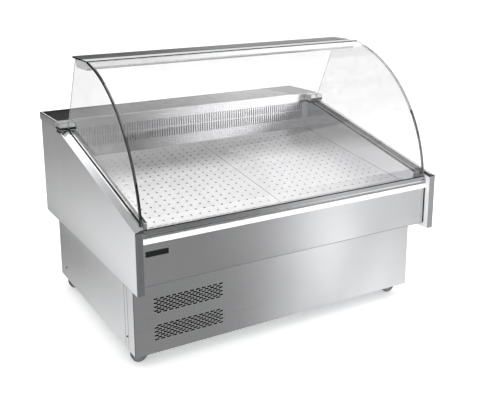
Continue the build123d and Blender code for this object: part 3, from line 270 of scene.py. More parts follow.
# Rolled foil: pale, with upright streaks
fin_stock = finish("aluminium_fin_stock", "#b9bbbd", "#cbcdce", (0.30, 0.40), (3, 3, 60), 40, metal=1.0)
# The same foil under black epoxy
dipped_fins = finish("epoxy_dipped_fins", "#141516", "#222324", (0.35, 0.5), (3, 3, 60), 40)
# Drawn tube that has tarnished here and there
copper = finish("drawn_copper", "#9a5a3c", "#c58462", (0.22, 0.42), (9, 9, 9), 70, metal=1.0)
print("other metals ready")

# %% [markdown]
# ## Glass
# The panes are float glass, 8 mm thick. Clear glass has hardly any colour across its thickness, but light
# that runs along a pane leaves it at the edges, so these get a finish of their own: ground and pale, or
# painted black where the front glass ends at the left and at its crest, a painted shade for the dark look
# of that edge. The face is left almost perfectly smooth, with faint wiping marks in its roughness.

# %% Glass finishes
# Float glass: clear, with a sharp mirror image
clear_glass = finish(
    "clear_float_glass",
    "#efefef",
    "#f6f6f6",
    (0.0, 0.002),
    (35, 35, 35),
    160,
    **{"Transmission Weight": 1.0, "IOR": 1.46},
)
# Ground edge: pale and frosted, with a hint of green
ground_edge = finish("ground_glass_edge", "#d6dcda", "#e4e9e7", (0.25, 0.4), (2, 2, 2), 30, IOR=1.5)
# Glass edge painted black and dull: a painted shade for the dark look of a pane's edge
glass_edge_painted_shade = finish(
    "black_glass_edge_painted_shade", "#0b0d0c", "#151817", (0.3, 0.45), (2, 2, 2), 30, **{"Specular IOR Level": 0.2}
)
print("glass ready")

# %% [markdown]
# ## Rubber and plastics
# Rubber is dull with a bloom, clear silicone is milky where it is thin, and moulded parts carry a fine
# spark texture from the mould.

# %% Rubber and plastic finishes
# Extruded PVC: clean white with faint lines along its length
white_profile = finish("white_pvc_profile", "#f6f6f6", "#fcfcfc", (0.28, 0.36), (120, 4, 4), 200, 0.002)
# Extruded rubber: black and dull
black_rubber = finish("epdm_rubber", "#0d0d0d", "#1a1a1a", (0.55, 0.75), (1.5, 1.5, 1.5), 30, 0.05)
# Clear silicone lip: pale and milky; on the right lip's upper part it is also a painted reflection
clear_seal = finish("clear_silicone", "#d4d6d6", "#e2e4e4", (0.3, 0.45), (2, 2, 2), 40, 0.01)
# Glazing rubber: dark grey, a little dusty; also painted shade on the channels and the liner's flange
glazing_rubber_and_shade = finish("grey_glazing_rubber_and_shade", "#303133", "#3b3c3e", (0.5, 0.65), (2, 2, 2), 40, 0.02)
# Soft tread: grey, scuffed
tread_rubber = finish("grey_tread_rubber", "#4b4c4e", "#5a5b5d", (0.45, 0.6), (2, 2, 2), 25, 0.04)
# Moulded nylon: lighter grey, waxy
wheel_nylon = finish("moulded_nylon", "#85878a", "#97999c", (0.34, 0.46), (1.5, 1.5, 1.5), 30, 0.03)
# Spark-textured ABS, black and grey: fine speckle, no clear gloss
black_moulding = finish("moulded_abs_black", "#121314", "#1d1e1f", (0.4, 0.52), (1.2, 1.2, 1.2), 40, 0.03)
grey_moulding = finish("moulded_abs_grey", "#8c8e90", "#9b9da0", (0.4, 0.5), (1.2, 1.2, 1.2), 20, 0.03)
# Vinyl dip: an even red skin
red_dip = finish("vinyl_dipped_red", "#8d1b16", "#a6261f", (0.32, 0.42), (3, 3, 3), 25, 0.03)
# Extruded pipe: pale grey with drawing lines
pipe_grey = finish("upvc_grey", "#b7babc", "#c6c9cb", (0.3, 0.4), (10, 60, 10), 90, 0.01)
# Blown foam: a crowd of small cells
rigid_foam = finish("polyurethane_foam", "#cdbb86", "#e2d3a4", (0.75, 0.9), (4, 4, 4), 60, 0.3, cells=True)
print("rubber and plastics ready")

# %% [markdown]
# ## Paint, print and lit plastics
# Enamel shows a slight orange peel, cast acrylic is glossy, and the lamp's opal cover and the bars of the
# display give a little light of their own.

# %% Paint, print and light finishes
# Stoved enamel: deep black with orange peel
black_enamel = finish("black_enamel", "#0e0e0f", "#19191a", (0.22, 0.34), (5, 5, 5), 80, 0.04)
# Screen print: a flat off-white
white_print = finish("white_printed_mark", "#dcdddd", "#ececec", (0.4, 0.5), (0.6, 0.6, 0.6), 8)
# Cast acrylic: black with a sharp gloss
gloss_black = finish("gloss_black_acrylic", "#08090a", "#101112", (0.06, 0.12), (8, 8, 8), 40)
# Opal acrylic over the lamp: warm white, lit from behind
opal = finish(
    "opal_acrylic",
    "#f2f2ee",
    "#fbfbf8",
    (0.4, 0.5),
    (20, 20, 20),
    90,
    **{"Emission Color": linear("#fffaf0"), "Emission Strength": 1.4},
)
# Light through a red window
led_red = finish(
    "red_display_light",
    "#c22a1a",
    "#d63a26",
    (0.3, 0.4),
    (3, 3, 3),
    10,
    **{"Emission Color": linear("#ff3a20"), "Emission Strength": 1.5},
)
print("paint, print and light ready")

# %% [markdown]
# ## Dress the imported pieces
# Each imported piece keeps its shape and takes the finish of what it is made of. The table reads like a
# parts list.

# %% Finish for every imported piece
finishes = {
    stainless_long: "base_front_panel base_rear_panel front_fascia rear_fascia",
    stainless_top: "worktop",
    stainless_deep: "base_left_panel base_right_panel end_panel_left end_panel_right",
    stainless_well_painted_light: "tub_liner deck_left deck_right deck_rails front_air_grille",
    blackened_steel: "panel_screws",
    stainless_rear_painted_shade: "rear_air_panel",
    satin_aluminium: "glass_clamps lamp_housing",
    bright_aluminium: "glass_channel_left glass_channel_right",
    grey_aluminium: "glass_shoe",
    dark_aluminium: "canopy_plate",
    zinc_plate: "base_tray corner_posts condenser_shroud castor_plates castor_fork_front_left "
    "castor_fork_front_right castor_fork_rear_left castor_fork_rear_right",
    fin_stock: "evaporator_coil",
    dipped_fins: "condenser_coil",
    copper: "refrigerant_pipes",
    clear_glass: "front_glass side_glass_left side_glass_right",
    white_profile: "front_rail",
    black_rubber: "side_gaskets clamp_pads",
    wheel_nylon: "castor_wheel_front_left castor_wheel_front_right castor_wheel_rear_left "
    "castor_wheel_rear_right",
    black_moulding: "condenser_fan evaporator_fan_left evaporator_fan_right evaporator_fan_board "
    "cable_gland control_panel lamp_switch",
    grey_moulding: "key_up key_down",
    black_enamel: "compressor liquid_receiver condenser_motor evaporator_motors",
    rigid_foam: "tub_insulation",
    pipe_grey: "drain_pipe",
    red_dip: "drain_lever",
    opal: "lamp_diffuser",
}
for material, names in finishes.items():
    for name in names.split():
        nodes[name].data.materials.clear()
        nodes[name].data.materials.append(material)
undressed = [name for name in nodes if nodes[name].data.materials[0] not in finishes]
print("left without a finish:", undressed)

# %% [markdown]
# ## Two finishes on one piece
# Some solids carry more than one finish. A pane has clear faces and ground edges, a castor's wheel a soft
# tread round a hard core, and an end panel ground front edges, a white inner skin and grey hinge bosses.
# They could be split into separate pieces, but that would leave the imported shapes. So the second finish
# goes on the faces that it belongs to, picked by where they are and which way they look.

# %% Second finish on glass
FACING, SLANTED = 0.9, 0.5
TOUCH = 0.001
CREST_BAND = 0.01


def second_finish(name, material, chosen):
    mesh = nodes[name].data
    mesh.materials.append(material)
    picked = [face for face in mesh.polygons if chosen(face)]
    for face in picked:
        face.material_index = len(mesh.materials) - 1
    print(name, "second finish on", len(picked), "of", len(mesh.polygons), "faces")


crest_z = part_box("front_glass")[1].z - CREST_BAND
# The front glass's left end and crest take a painted shade in black; its right end is ground and pale
second_finish(
    "front_glass",
    glass_edge_painted_shade,
    lambda face: face.normal.x < -FACING or (face.center.z > crest_z and face.normal.y > FACING),
)
second_finish("front_glass", ground_edge, lambda face: face.normal.x > FACING)
for name in ("side_glass_left", "side_glass_right"):
    second_finish(name, ground_edge, lambda face: abs(face.normal.x) < SLANTED)

# %% Second finish on wheels and end panels
TREAD_SHARE = 0.8
END_INNER = 0.716
for name in finishes[wheel_nylon].split():
    low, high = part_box(name)
    hub = (low + high) / 2
    tread = (high.z - low.z) / 2 * TREAD_SHARE
    second_finish(
        name,
        tread_rubber,
        lambda face: sqrt((face.center.x - hub.x) ** 2 + (face.center.z - hub.z) ** 2) > tread,
    )
for name, inward in (("end_panel_left", 1), ("end_panel_right", -1)):
    front_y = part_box(name)[0].y
    inner_x = END_INNER * -inward
    second_finish(
        name, stainless_edge_and_shade, lambda face: face.normal.y < -FACING and face.center.y < front_y + TOUCH
    )
    second_finish(
        name,
        white_profile,
        lambda face: face.normal.x * inward > FACING and abs(face.center.x - inner_x) < TOUCH,
    )
    second_finish(name, grey_aluminium, lambda face: abs(face.center.x) < END_INNER - TOUCH)

# %% [markdown]
# ## Second finishes round the well
# Each glass channel has a dark grey rubber strip along its inside and on its front end, and another lies
# on the liner's sloped flange: glazing rubber in part, and painted shade where these faces lie in shadow.
# The liner has brushed side walls and a darker front rim, a painted shade, and the worktop's front lip
# leans with the rear air panel below it. The lamp housing has a grey band under its front, and the canopy
# plate a blasted strip along its nose.

# %% Second finish on channels, liner and canopy
WALL_X, FLANGE_REAR = 0.673, 0.27
BAND_DOWN, BAND_FORWARD = -0.12, -0.05
NOSE_DEPTH = 0.062
for name, inward in (("glass_channel_left", 1), ("glass_channel_right", -1)):
    # Inner faces and front ends of the channels: glazing rubber in part, painted shade where they lie in
    # shadow
    second_finish(
        name, glazing_rubber_and_shade, lambda face: face.normal.x * inward > FACING or face.normal.y < -FACING
    )
second_finish("worktop", stainless_rear_painted_shade, lambda face: face.normal.y < -FACING)
# The liner's front rim takes the darker edge finish as a painted shade
rim_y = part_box("tub_liner")[0].y + TOUCH
second_finish("tub_liner", stainless_edge_and_shade, lambda face: face.normal.y < -FACING and face.center.y < rim_y)
second_finish(
    "tub_liner", stainless_deep, lambda face: abs(face.normal.x) > FACING and abs(face.center.x) < WALL_X
)
# The liner's sloped flange: dark as painted shade under the channel, with glazing rubber
second_finish(
    "tub_liner",
    glazing_rubber_and_shade,
    lambda face: face.normal.z > SLANTED and abs(face.center.x) > WALL_X and face.center.y < FLANGE_REAR,
)
second_finish(
    "lamp_housing", grey_aluminium, lambda face: face.normal.z < BAND_DOWN and face.normal.y < BAND_FORWARD
)
plate_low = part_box("canopy_plate")[0]
nose_rear = plate_low.y + NOSE_DEPTH
second_finish(
    "canopy_plate", blasted_aluminium, lambda face: face.normal.z > SLANTED and face.center.y < nose_rear
)

# %% [markdown]
# ## Tools for the small things that repeat
# Screws, nuts, ribs and fins are the same shape many times over. A geometry tree makes the shape from
# named sizes and puts one on each point of a mesh, turned so that its own Z axis follows the point's
# facing. The result is then kept as a plain mesh, because a live modifier would be lost when the part is
# exported.


# %% Geometry tree tools
def new_tree(name, **sizes):
    tree = bpy.data.node_groups.new(name, "GeometryNodeTree")
    tree.interface.new_socket("Geometry", in_out="INPUT", socket_type="NodeSocketGeometry")
    for label, kind in sizes.items():
        tree.interface.new_socket(label, in_out="INPUT", socket_type="NodeSocket" + kind)
    tree.interface.new_socket("Geometry", in_out="OUTPUT", socket_type="NodeSocketGeometry")
    return tree, add_node(tree, "NodeGroupInput", {}).outputs


def put_on_points(tree, points, shape, material):
    facing = add_node(
        tree, "GeometryNodeInputNamedAttribute", {"Name": "facing"}, data_type="FLOAT_VECTOR"
    )
    turn = add_node(
        tree, "FunctionNodeAlignRotationToVector", {"Vector": facing.outputs["Attribute"]}, axis="Z"
    )
    copies = add_node(
        tree,
        "GeometryNodeInstanceOnPoints",
        {"Points": points, "Instance": shape, "Rotation": turn.outputs["Rotation"]},
    )
    real = add_node(tree, "GeometryNodeRealizeInstances", {"Geometry": copies.outputs["Instances"]})
    coated = add_node(
        tree, "GeometryNodeSetMaterial", {"Geometry": real.outputs["Geometry"], "Material": material}
    )
    add_node(tree, "NodeGroupOutput", {"Geometry": coated.outputs["Geometry"]})


def grow(name, tree, places, facings, **sizes):
    mesh = bpy.data.meshes.new(name)
    mesh.from_pydata(places, [], [])
    mesh.attributes.new("facing", "FLOAT_VECTOR", "POINT")
    mesh.attributes["facing"].data.foreach_set("vector", [part for facing in facings for part in facing])
    piece = bpy.data.objects.new(name, mesh)
    scene.collection.objects.link(piece)
    modifier = piece.modifiers.new("grow", "NODES")
    modifier.node_group = tree
    for socket in tree.interface.items_tree:
        if socket.name in sizes:
            modifier[socket.identifier] = sizes[socket.name]
    grown = piece.evaluated_get(bpy.context.evaluated_depsgraph_get())
    piece.data = bpy.data.meshes.new_from_object(grown)
    piece.modifiers.clear()
    print(name, "on", len(places), "points,", len(piece.data.polygons), "faces")
    return piece


def attach(piece, body):
    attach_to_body(piece, body)


print("tree tools ready")

# %% [markdown]
# ## Panel screws
# Eight pan-head screws with a cross recess hold the base's side panels. The head is a low cone, and two
# small bars cut the cross out of it.

# %% Screw tree
SCREW_SIDES = 28
screw_tree, size = new_tree(
    "pan_head_screw", Head="Float", Crown="Float", Height="Float", Cross="Vector", Cross_Turned="Vector"
)
head = add_node(
    screw_tree,
    "GeometryNodeMeshCone",
    {
        "Vertices": SCREW_SIDES,
        "Radius Bottom": size["Head"],
        "Radius Top": size["Crown"],
        "Depth": size["Height"],
    },
)
bar = add_node(screw_tree, "GeometryNodeMeshCube", {"Size": size["Cross"]})
bar_turned = add_node(screw_tree, "GeometryNodeMeshCube", {"Size": size["Cross_Turned"]})
lift = add_node(screw_tree, "ShaderNodeCombineXYZ", {"Z": size["Height"]})
cutters = add_node(screw_tree, "GeometryNodeJoinGeometry", {"Geometry": bar.outputs["Mesh"]})
screw_tree.links.new(bar_turned.outputs["Mesh"], cutters.inputs["Geometry"])
raised_cutters = add_node(
    screw_tree,
    "GeometryNodeTransform",
    {"Geometry": cutters.outputs["Geometry"], "Translation": lift.outputs["Vector"]},
)
recessed = add_node(
    screw_tree,
    "GeometryNodeMeshBoolean",
    {
        "Mesh 1": head.outputs["Mesh"],
        "Mesh 2": raised_cutters.outputs["Geometry"],
        "Self Intersection": True,
    },
    operation="DIFFERENCE",
    solver="EXACT",
)
put_on_points(screw_tree, size["Geometry"], recessed.outputs["Mesh"], blackened_steel)
print("screw tree has", len(screw_tree.nodes), "nodes")

# %% Screws on the side panels
HEAD_RADIUS, HEAD_HEIGHT, CROWN_RADIUS = 0.0045, 0.0026, 0.0031
CROSS_LONG, CROSS_WIDE, CROSS_DEEP = 0.0048, 0.0011, 0.0028
low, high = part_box("panel_screws")
face_x = high.x - HEAD_HEIGHT
screw_places = [
    (side * face_x, y, z)
    for side in (-1, 1)
    for y in (low.y + HEAD_RADIUS, high.y - HEAD_RADIUS)
    for z in (low.z + HEAD_RADIUS, high.z - HEAD_RADIUS)
]
screws = grow(
    "screw_heads",
    screw_tree,
    screw_places,
    [(place[0], 0, 0) for place in screw_places],
    Head=HEAD_RADIUS,
    Crown=CROWN_RADIUS,
    Height=HEAD_HEIGHT,
    Cross=(CROSS_LONG, CROSS_WIDE, CROSS_DEEP),
    Cross_Turned=(CROSS_WIDE, CROSS_LONG, CROSS_DEEP),
)
attach(screws, "counter")
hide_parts("panel_screws")

# %% [markdown]
# ## Axle nuts
# Each wheel turns on a bolt through its fork, with a hexagon at both ends and a washer under it. A
# six-sided cylinder is a hexagon, so one tree makes nut and washer and puts a pair on each fork.

# %% Nut tree
NUT_SIDES, WASHER_SIDES = 6, 24
nut_tree, size = new_tree(
    "axle_nut", Nut="Float", Nut_Height="Float", Washer="Float", Washer_Height="Float"
)
nut = add_node(
    nut_tree,
    "GeometryNodeMeshCylinder",
    {"Vertices": NUT_SIDES, "Radius": size["Nut"], "Depth": size["Nut_Height"]},
)
washer = add_node(
    nut_tree,
    "GeometryNodeMeshCylinder",
    {"Vertices": WASHER_SIDES, "Radius": size["Washer"], "Depth": size["Washer_Height"]},
)
nut_lift = add_node(nut_tree, "ShaderNodeMath", {0: size["Nut_Height"], 1: 0.5}, operation="MULTIPLY")
nut_shift = add_node(nut_tree, "ShaderNodeCombineXYZ", {"Z": nut_lift.outputs[0]})
nut_up = add_node(
    nut_tree,
    "GeometryNodeTransform",
    {"Geometry": nut.outputs["Mesh"], "Translation": nut_shift.outputs["Vector"]},
)
nut_and_washer = add_node(nut_tree, "GeometryNodeJoinGeometry", {"Geometry": nut_up.outputs["Geometry"]})
nut_tree.links.new(washer.outputs["Mesh"], nut_and_washer.inputs["Geometry"])
put_on_points(nut_tree, size["Geometry"], nut_and_washer.outputs["Geometry"], zinc_plate)
print("nut tree has", len(nut_tree.nodes), "nodes")

# %% Nuts on the castors
for corner in ("front_left", "front_right", "rear_left", "rear_right"):
    fork_low, fork_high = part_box("castor_fork_" + corner)
    wheel_low, wheel_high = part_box("castor_wheel_" + corner)
    axle = (wheel_low + wheel_high) / 2
    nuts = grow(
        "axle_nuts_" + corner,
        nut_tree,
        [(axle.x, fork_low.y, axle.z), (axle.x, fork_high.y, axle.z)],
        [(0, -1, 0), (0, 1, 0)],
        Nut=0.0075,
        Nut_Height=0.0062,
        Washer=0.0098,
        Washer_Height=0.0024,
    )
    attach(nuts, "castor_" + corner)

# %% [markdown]
# ## Grip ribs
# The cable gland's nut and the drain valve's body are ribbed so that a hand can turn them. The ribs are
# short bars round a circle, each facing outwards. The tree that makes one bar serves for the coils' fins
# too.


# %% Ribs round the gland and the valve
def bar_tree(name, material):
    tree, size = new_tree(name, Bar="Vector")
    bar = add_node(tree, "GeometryNodeMeshCube", {"Size": size["Bar"]})
    put_on_points(tree, size["Geometry"], bar.outputs["Mesh"], material)
    return tree


def ring_of_ribs(name, tree, centre, radius, count, rib_size):
    angles = [(i + 0.5) / count * 2 * pi for i in range(count)]
    facings = [(sin(a), 0, cos(a)) for a in angles]
    places = [tuple(Vector(centre) + radius * Vector(f)) for f in facings]
    return grow(name, tree, places, facings, Bar=rib_size)


GLAND_RADIUS, GLAND_LENGTH = 0.011, 0.018
GLAND_RIBS, GLAND_RIB = 18, (0.0016, 0.013, 0.0016)
low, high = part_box("cable_gland")
gland_centre = ((low.x + high.x) / 2, high.y - GLAND_LENGTH / 2, (low.z + high.z) / 2)
gland_tree = bar_tree("grip_rib", black_moulding)
gland_ribs = ring_of_ribs("gland_ribs", gland_tree, gland_centre, GLAND_RADIUS, GLAND_RIBS, GLAND_RIB)
attach(gland_ribs, "counter")

VALVE_RADIUS, VALVE_LENGTH, VALVE_MIDDLE = 0.028, 0.044, 0.5265
VALVE_RIBS, VALVE_RIB = 26, (0.0035, 0.015, 0.0024)
LEVER_OFFSET, DRAIN_Z = 0.01105, 0.176
drain_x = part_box("drain_lever")[0].x + LEVER_OFFSET
valve_tree = bar_tree("valve_rib", pipe_grey)
for end, shift in (("inner", -VALVE_LENGTH / 4), ("outer", VALVE_LENGTH / 4)):
    centre = (drain_x, VALVE_MIDDLE + shift, DRAIN_Z)
    ribs = ring_of_ribs("valve_ribs_" + end, valve_tree, centre, VALVE_RADIUS, VALVE_RIBS, VALVE_RIB)
    attach(ribs, "counter")

# %% [markdown]
# ## Finned coils
# A heat exchanger is a stack of thin fins on rows of tubes that turn back at each end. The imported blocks
# hold its place; here the fins are bars a few tenths of a millimetre thick, the tubes are cylinders
# through them, and half rings join them at the ends.

# %% Trees for tubes and bends
TUBE_SIDES, BEND_STEPS = 10, 9
tube_tree, size = new_tree("coil_tube", Radius="Float", Length="Float")
tube = add_node(
    tube_tree,
    "GeometryNodeMeshCylinder",
    {"Vertices": TUBE_SIDES, "Radius": size["Radius"], "Depth": size["Length"]},
)
put_on_points(tube_tree, size["Geometry"], tube.outputs["Mesh"], copper)
bend_tree, size = new_tree("coil_bend", Radius="Float", Bend="Float")
arc = add_node(
    bend_tree,
    "GeometryNodeCurveArc",
    {"Resolution": BEND_STEPS, "Radius": size["Bend"], "Sweep Angle": pi},
    mode="RADIUS",
)
upright = add_node(
    bend_tree, "GeometryNodeTransform", {"Geometry": arc.outputs["Curve"], "Rotation": (pi / 2, 0, 0)}
)
round_section = add_node(
    bend_tree, "GeometryNodeCurvePrimitiveCircle", {"Resolution": TUBE_SIDES, "Radius": size["Radius"]}
)
bend = add_node(
    bend_tree,
    "GeometryNodeCurveToMesh",
    {"Curve": upright.outputs["Geometry"], "Profile Curve": round_section.outputs["Curve"]},
)
put_on_points(bend_tree, size["Geometry"], bend.outputs["Mesh"], copper)
print("tube and bend trees have", len(tube_tree.nodes), "and", len(bend_tree.nodes), "nodes")

# %% Fins, tubes and bends
END_ROOM, FIN_THICK = 0.02, 0.0004
TUBE_RADIUS, TUBE_PROUD = 0.0048, 0.002


def finned_coil(name, fin_tree, low, high, fin_pitch, rows, columns):
    middle = (low + high) / 2
    length, depth, height = high - low
    reach = length / 2 - END_ROOM
    count = int(2 * reach / fin_pitch) + 1
    fin_x = [middle.x - reach + i * 2 * reach / (count - 1) for i in range(count)]
    fin_places = [(x, middle.y, middle.z) for x in fin_x]
    fins = grow(name + "_fins", fin_tree, fin_places, [(0, 0, 1)] * count, Bar=(FIN_THICK, depth, height))
    rise = height / rows
    tube_z = [low.z + (i + 0.5) * rise for i in range(rows)]
    tube_y = [low.y + (i + 0.5) * depth / columns for i in range(columns)]
    tubes = grow(
        name + "_tubes",
        tube_tree,
        [(middle.x, y, z) for y in tube_y for z in tube_z],
        [(1, 0, 0)] * (rows * columns),
        Radius=TUBE_RADIUS,
        Length=2 * (reach + TUBE_PROUD),
    )
    bend_places, bend_facings = [], []
    for y in tube_y:
        for i in range(rows - 1):
            side = 1 if i % 2 else -1
            bend_x = middle.x + side * (reach + TUBE_PROUD)
            bend_places.append((bend_x, y, (tube_z[i] + tube_z[i + 1]) / 2))
            bend_facings.append((side, 0, 0))
    bends = grow(
        name + "_bends", bend_tree, bend_places, bend_facings, Radius=TUBE_RADIUS, Bend=rise / 2
    )
    return {fins: "fins", tubes: "copper", bends: "copper"}


for name, material, pitch, rows, columns in (
    ("condenser_coil", dipped_fins, 0.0032, 9, 2),
    ("evaporator_coil", fin_stock, 0.006, 6, 3),
):
    low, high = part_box(name)
    fin_tree = bar_tree(name + "_fin", material)
    for piece, slot in finned_coil(name, fin_tree, low, high, pitch, rows, columns).items():
        attach(piece, "counter")
        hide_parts(name)

# %% [markdown]
# ## Flat shapes that stand a little proud
# The badge plate, the display, the printed marks, the seals and the strips are outlines with a small
# thickness. One function takes outlines on a face, given by its corner and its two directions, raises them
# into closed prisms, and lets them ride on a body.

# %% Raised outlines
FRONT_FACE = ((1, 0, 0), (0, 0, 1))
BACK_FACE = ((-1, 0, 0), (0, 0, 1))
LEFT_FACE = ((0, -1, 0), (0, 0, 1))
RIGHT_FACE = ((0, 1, 0), (0, 0, 1))
TOP_FACE = ((1, 0, 0), (0, 1, 0))


def raise_outlines(name, outlines, corner, face, depth, material, body):
    across, up = Vector(face[0]), Vector(face[1])
    out = across.cross(up) * depth
    shape = bmesh.new()
    for outline in outlines:
        flat = [Vector(corner) + across * u + up * v for u, v in outline]
        lower = [shape.verts.new(point) for point in flat]
        upper = [shape.verts.new(point + out) for point in flat]
        shape.faces.new(list(reversed(lower)))
        shape.faces.new(upper)
        for i in range(len(flat)):
            j = (i + 1) % len(flat)
            shape.faces.new((lower[i], lower[j], upper[j], upper[i]))
    mesh = bpy.data.meshes.new(name)
    shape.to_mesh(mesh)
    shape.free()
    mesh.materials.append(material)
    piece = bpy.data.objects.new(name, mesh)
    scene.collection.objects.link(piece)
    attach(piece, body)
    print(name, len(mesh.polygons), "faces")


# %% Outlines to raise
def rectangle(left, bottom, right, top):
    return [(left, bottom), (right, bottom), (right, top), (left, top)]


def rounded_rectangle(width, height, radius, steps=6):
    points = []
    for quarter, (sx, sy) in enumerate(((1, 1), (-1, 1), (-1, -1), (1, -1))):
        centre_x, centre_y = sx * (width / 2 - radius), sy * (height / 2 - radius)
        for i in range(steps + 1):
            angle = (quarter + i / steps) * pi / 2
            points.append((centre_x + radius * cos(angle), centre_y + radius * sin(angle)))
    return points


def circle(radius, steps):
    return [(radius * cos(i / steps * 2 * pi), radius * sin(i / steps * 2 * pi)) for i in range(steps)]


print("a rounded rectangle has", len(rounded_rectangle(1, 1, 0.1)), "points")

# %% [markdown]
# ## Badge plate
# The front panel carries a small dark plate at its upper left. It is left blank: an acrylic plate on a
# thin aluminium backing.

# %% Blank badge
BADGE_CENTRE = Vector((-0.649, -0.572, 0.539))
BADGE_WIDTH, BADGE_HEIGHT, BADGE_THICK = 0.098, 0.024, 0.0014
BACKING_THICK, BACKING_CORNER = 0.0008, 0.002
BADGE_INSET, BADGE_CORNER = 0.0016, 0.0016
raise_outlines(
    "badge_backing",
    [rounded_rectangle(BADGE_WIDTH, BADGE_HEIGHT, BACKING_CORNER)],
    BADGE_CENTRE,
    FRONT_FACE,
    BACKING_THICK,
    satin_aluminium,
    "counter",
)
raise_outlines(
    "badge_plate",
    [rounded_rectangle(BADGE_WIDTH - BADGE_INSET, BADGE_HEIGHT - BADGE_INSET, BADGE_CORNER)],
    BADGE_CENTRE + Vector((0, -BACKING_THICK, 0)),
    FRONT_FACE,
    BADGE_THICK,
    gloss_black,
    "counter",
)

# %% [markdown]
# ## Controls
# The operator's panel shows the well's temperature on a small display of lit bars, with two keys to change
# it and a rocker for the lamp. A figure is made of seven bars, as on any such display, and the keys and
# the rocker carry the usual marks.

# %% Display window
DISPLAY_SHIFT = 0.040
WINDOW_WIDTH, WINDOW_HEIGHT, WINDOW_CORNER = 0.0576, 0.0296, 0.0008
WINDOW_SUNK, WINDOW_THICK = 0.0015, 0.0012
low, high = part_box("control_panel")
face_y = high.y
panel_z = (low.z + high.z) / 2
display_x = (low.x + high.x) / 2 + DISPLAY_SHIFT
raise_outlines(
    "display_window",
    [rounded_rectangle(WINDOW_WIDTH, WINDOW_HEIGHT, WINDOW_CORNER)],
    (display_x, face_y - WINDOW_SUNK, panel_z),
    BACK_FACE,
    WINDOW_THICK,
    gloss_black,
    "counter",
)

# %% Lit figures
BAR_LENGTH, BAR_WIDTH, BAR_GAP = 0.0085, 0.0017, 0.0002
FIRST_FIGURE, SECOND_FIGURE = -0.008, 0.009
POINT_X, POINT_RADIUS, POINT_STEPS = 0.0005, 0.0011, 12
DEGREE_X, DEGREE_DROP, DEGREE_RADIUS, DEGREE_STEPS = 0.0185, 0.001, 0.0016, 16
FIGURES_SUNK, FIGURES_THICK = 0.0003, 0.0002
bars_of = {"2": "abged", "5": "afgcd"}
bar_places = {
    "a": (0, 1, True),
    "g": (0, 0, True),
    "d": (0, -1, True),
    "f": (-0.5, 0.5, False),
    "b": (0.5, 0.5, False),
    "e": (-0.5, -0.5, False),
    "c": (0.5, -0.5, False),
}


def lit_bars(figure, centre_u):
    tip, side = BAR_LENGTH / 2 - BAR_GAP, BAR_WIDTH / 2
    neck = tip - side
    flat_bar = [(-tip, 0), (-neck, -side), (neck, -side), (tip, 0), (neck, side), (-neck, side)]
    outlines = []
    for name in bars_of[figure]:
        u, v, flat = bar_places[name]
        turned = flat_bar if flat else [(-y, x) for x, y in flat_bar]
        outlines.append([(x + centre_u + u * BAR_LENGTH, y + v * BAR_LENGTH) for x, y in turned])
    return outlines


point = [(x + POINT_X, y - BAR_LENGTH) for x, y in circle(POINT_RADIUS, POINT_STEPS)]
degree = [(x + DEGREE_X, y + BAR_LENGTH - DEGREE_DROP) for x, y in circle(DEGREE_RADIUS, DEGREE_STEPS)]
raise_outlines(
    "display_figures",
    lit_bars("2", FIRST_FIGURE) + [point] + lit_bars("5", SECOND_FIGURE) + [degree],
    (display_x, face_y - FIGURES_SUNK, panel_z),
    BACK_FACE,
    FIGURES_THICK,
    led_red,
    "counter",
)

# %% Marks on the keys and the rocker
PRINT_THICK = 0.0001
STROKE_HALF_WIDE, STROKE_HALF_HIGH = 0.0006, 0.0028
DIP, HALF_ROCKER = 0.0021, 0.012
triangle = [(-0.003, -0.0022), (0.003, -0.0022), (0, 0.0028)]
for name, turn in (("key_up", 1), ("key_down", -1)):
    low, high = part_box(name)
    raise_outlines(
        name + "_mark",
        [[(turn * u, turn * v) for u, v in triangle]],
        ((low.x + high.x) / 2, high.y, (low.z + high.z) / 2),
        BACK_FACE,
        PRINT_THICK,
        white_print,
        name,
    )
low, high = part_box("lamp_switch")
rocker = Vector(((low.x + high.x) / 2, high.y, (low.z + high.z) / 2))
slope = Vector((0, DIP, HALF_ROCKER)).normalized()
raise_outlines(
    "rocker_mark",
    [rectangle(-STROKE_HALF_WIDE, -STROKE_HALF_HIGH, STROKE_HALF_WIDE, STROKE_HALF_HIGH)],
    rocker + Vector((0, -DIP / 2, HALF_ROCKER / 2)),
    (BACK_FACE[0], slope),
    PRINT_THICK,
    white_print,
    "lamp_switch",
)

# %% [markdown]
# ## Seals along the panes
# The curved front glass closes on a lip along the front edge of each side glass: black at the left, and at
# the right pale above and black at its foot, a painted reflection above and a painted shade at the foot.
# The lips are bonded to the side glasses, so the front glass leaves them behind when it tilts. All of them
# follow one circle, seen from the side, so each is a band between two radii and two angles, raised across
# the pane.

# %% Lips on the side glasses
ARC_Y, ARC_Z = 0.0699, 0.5874
SEAL_OUTER, SEAL_INNER, SEAL_WALL = 0.6328, 0.6296, 0.0008
SEAL_TOP_GAP, SEAL_FOOT_GAP, SEAL_SHADE_SPLIT = 0.002, 0.004, 0.93
SEAL_STEPS = 48


def arc_angle(z, radius):
    return pi - asin((z - ARC_Z) / radius)


def arc_band(outer, inner, start, end, steps):
    angles = [start + (end - start) * i / steps for i in range(steps + 1)]
    outline = [(outer * cos(a), outer * sin(a)) for a in angles]
    return outline + [(inner * cos(a), inner * sin(a)) for a in reversed(angles)]


pane_low, pane_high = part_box("side_glass_left")
seal_top, seal_foot = pane_high.z - SEAL_TOP_GAP, pane_low.z + SEAL_FOOT_GAP
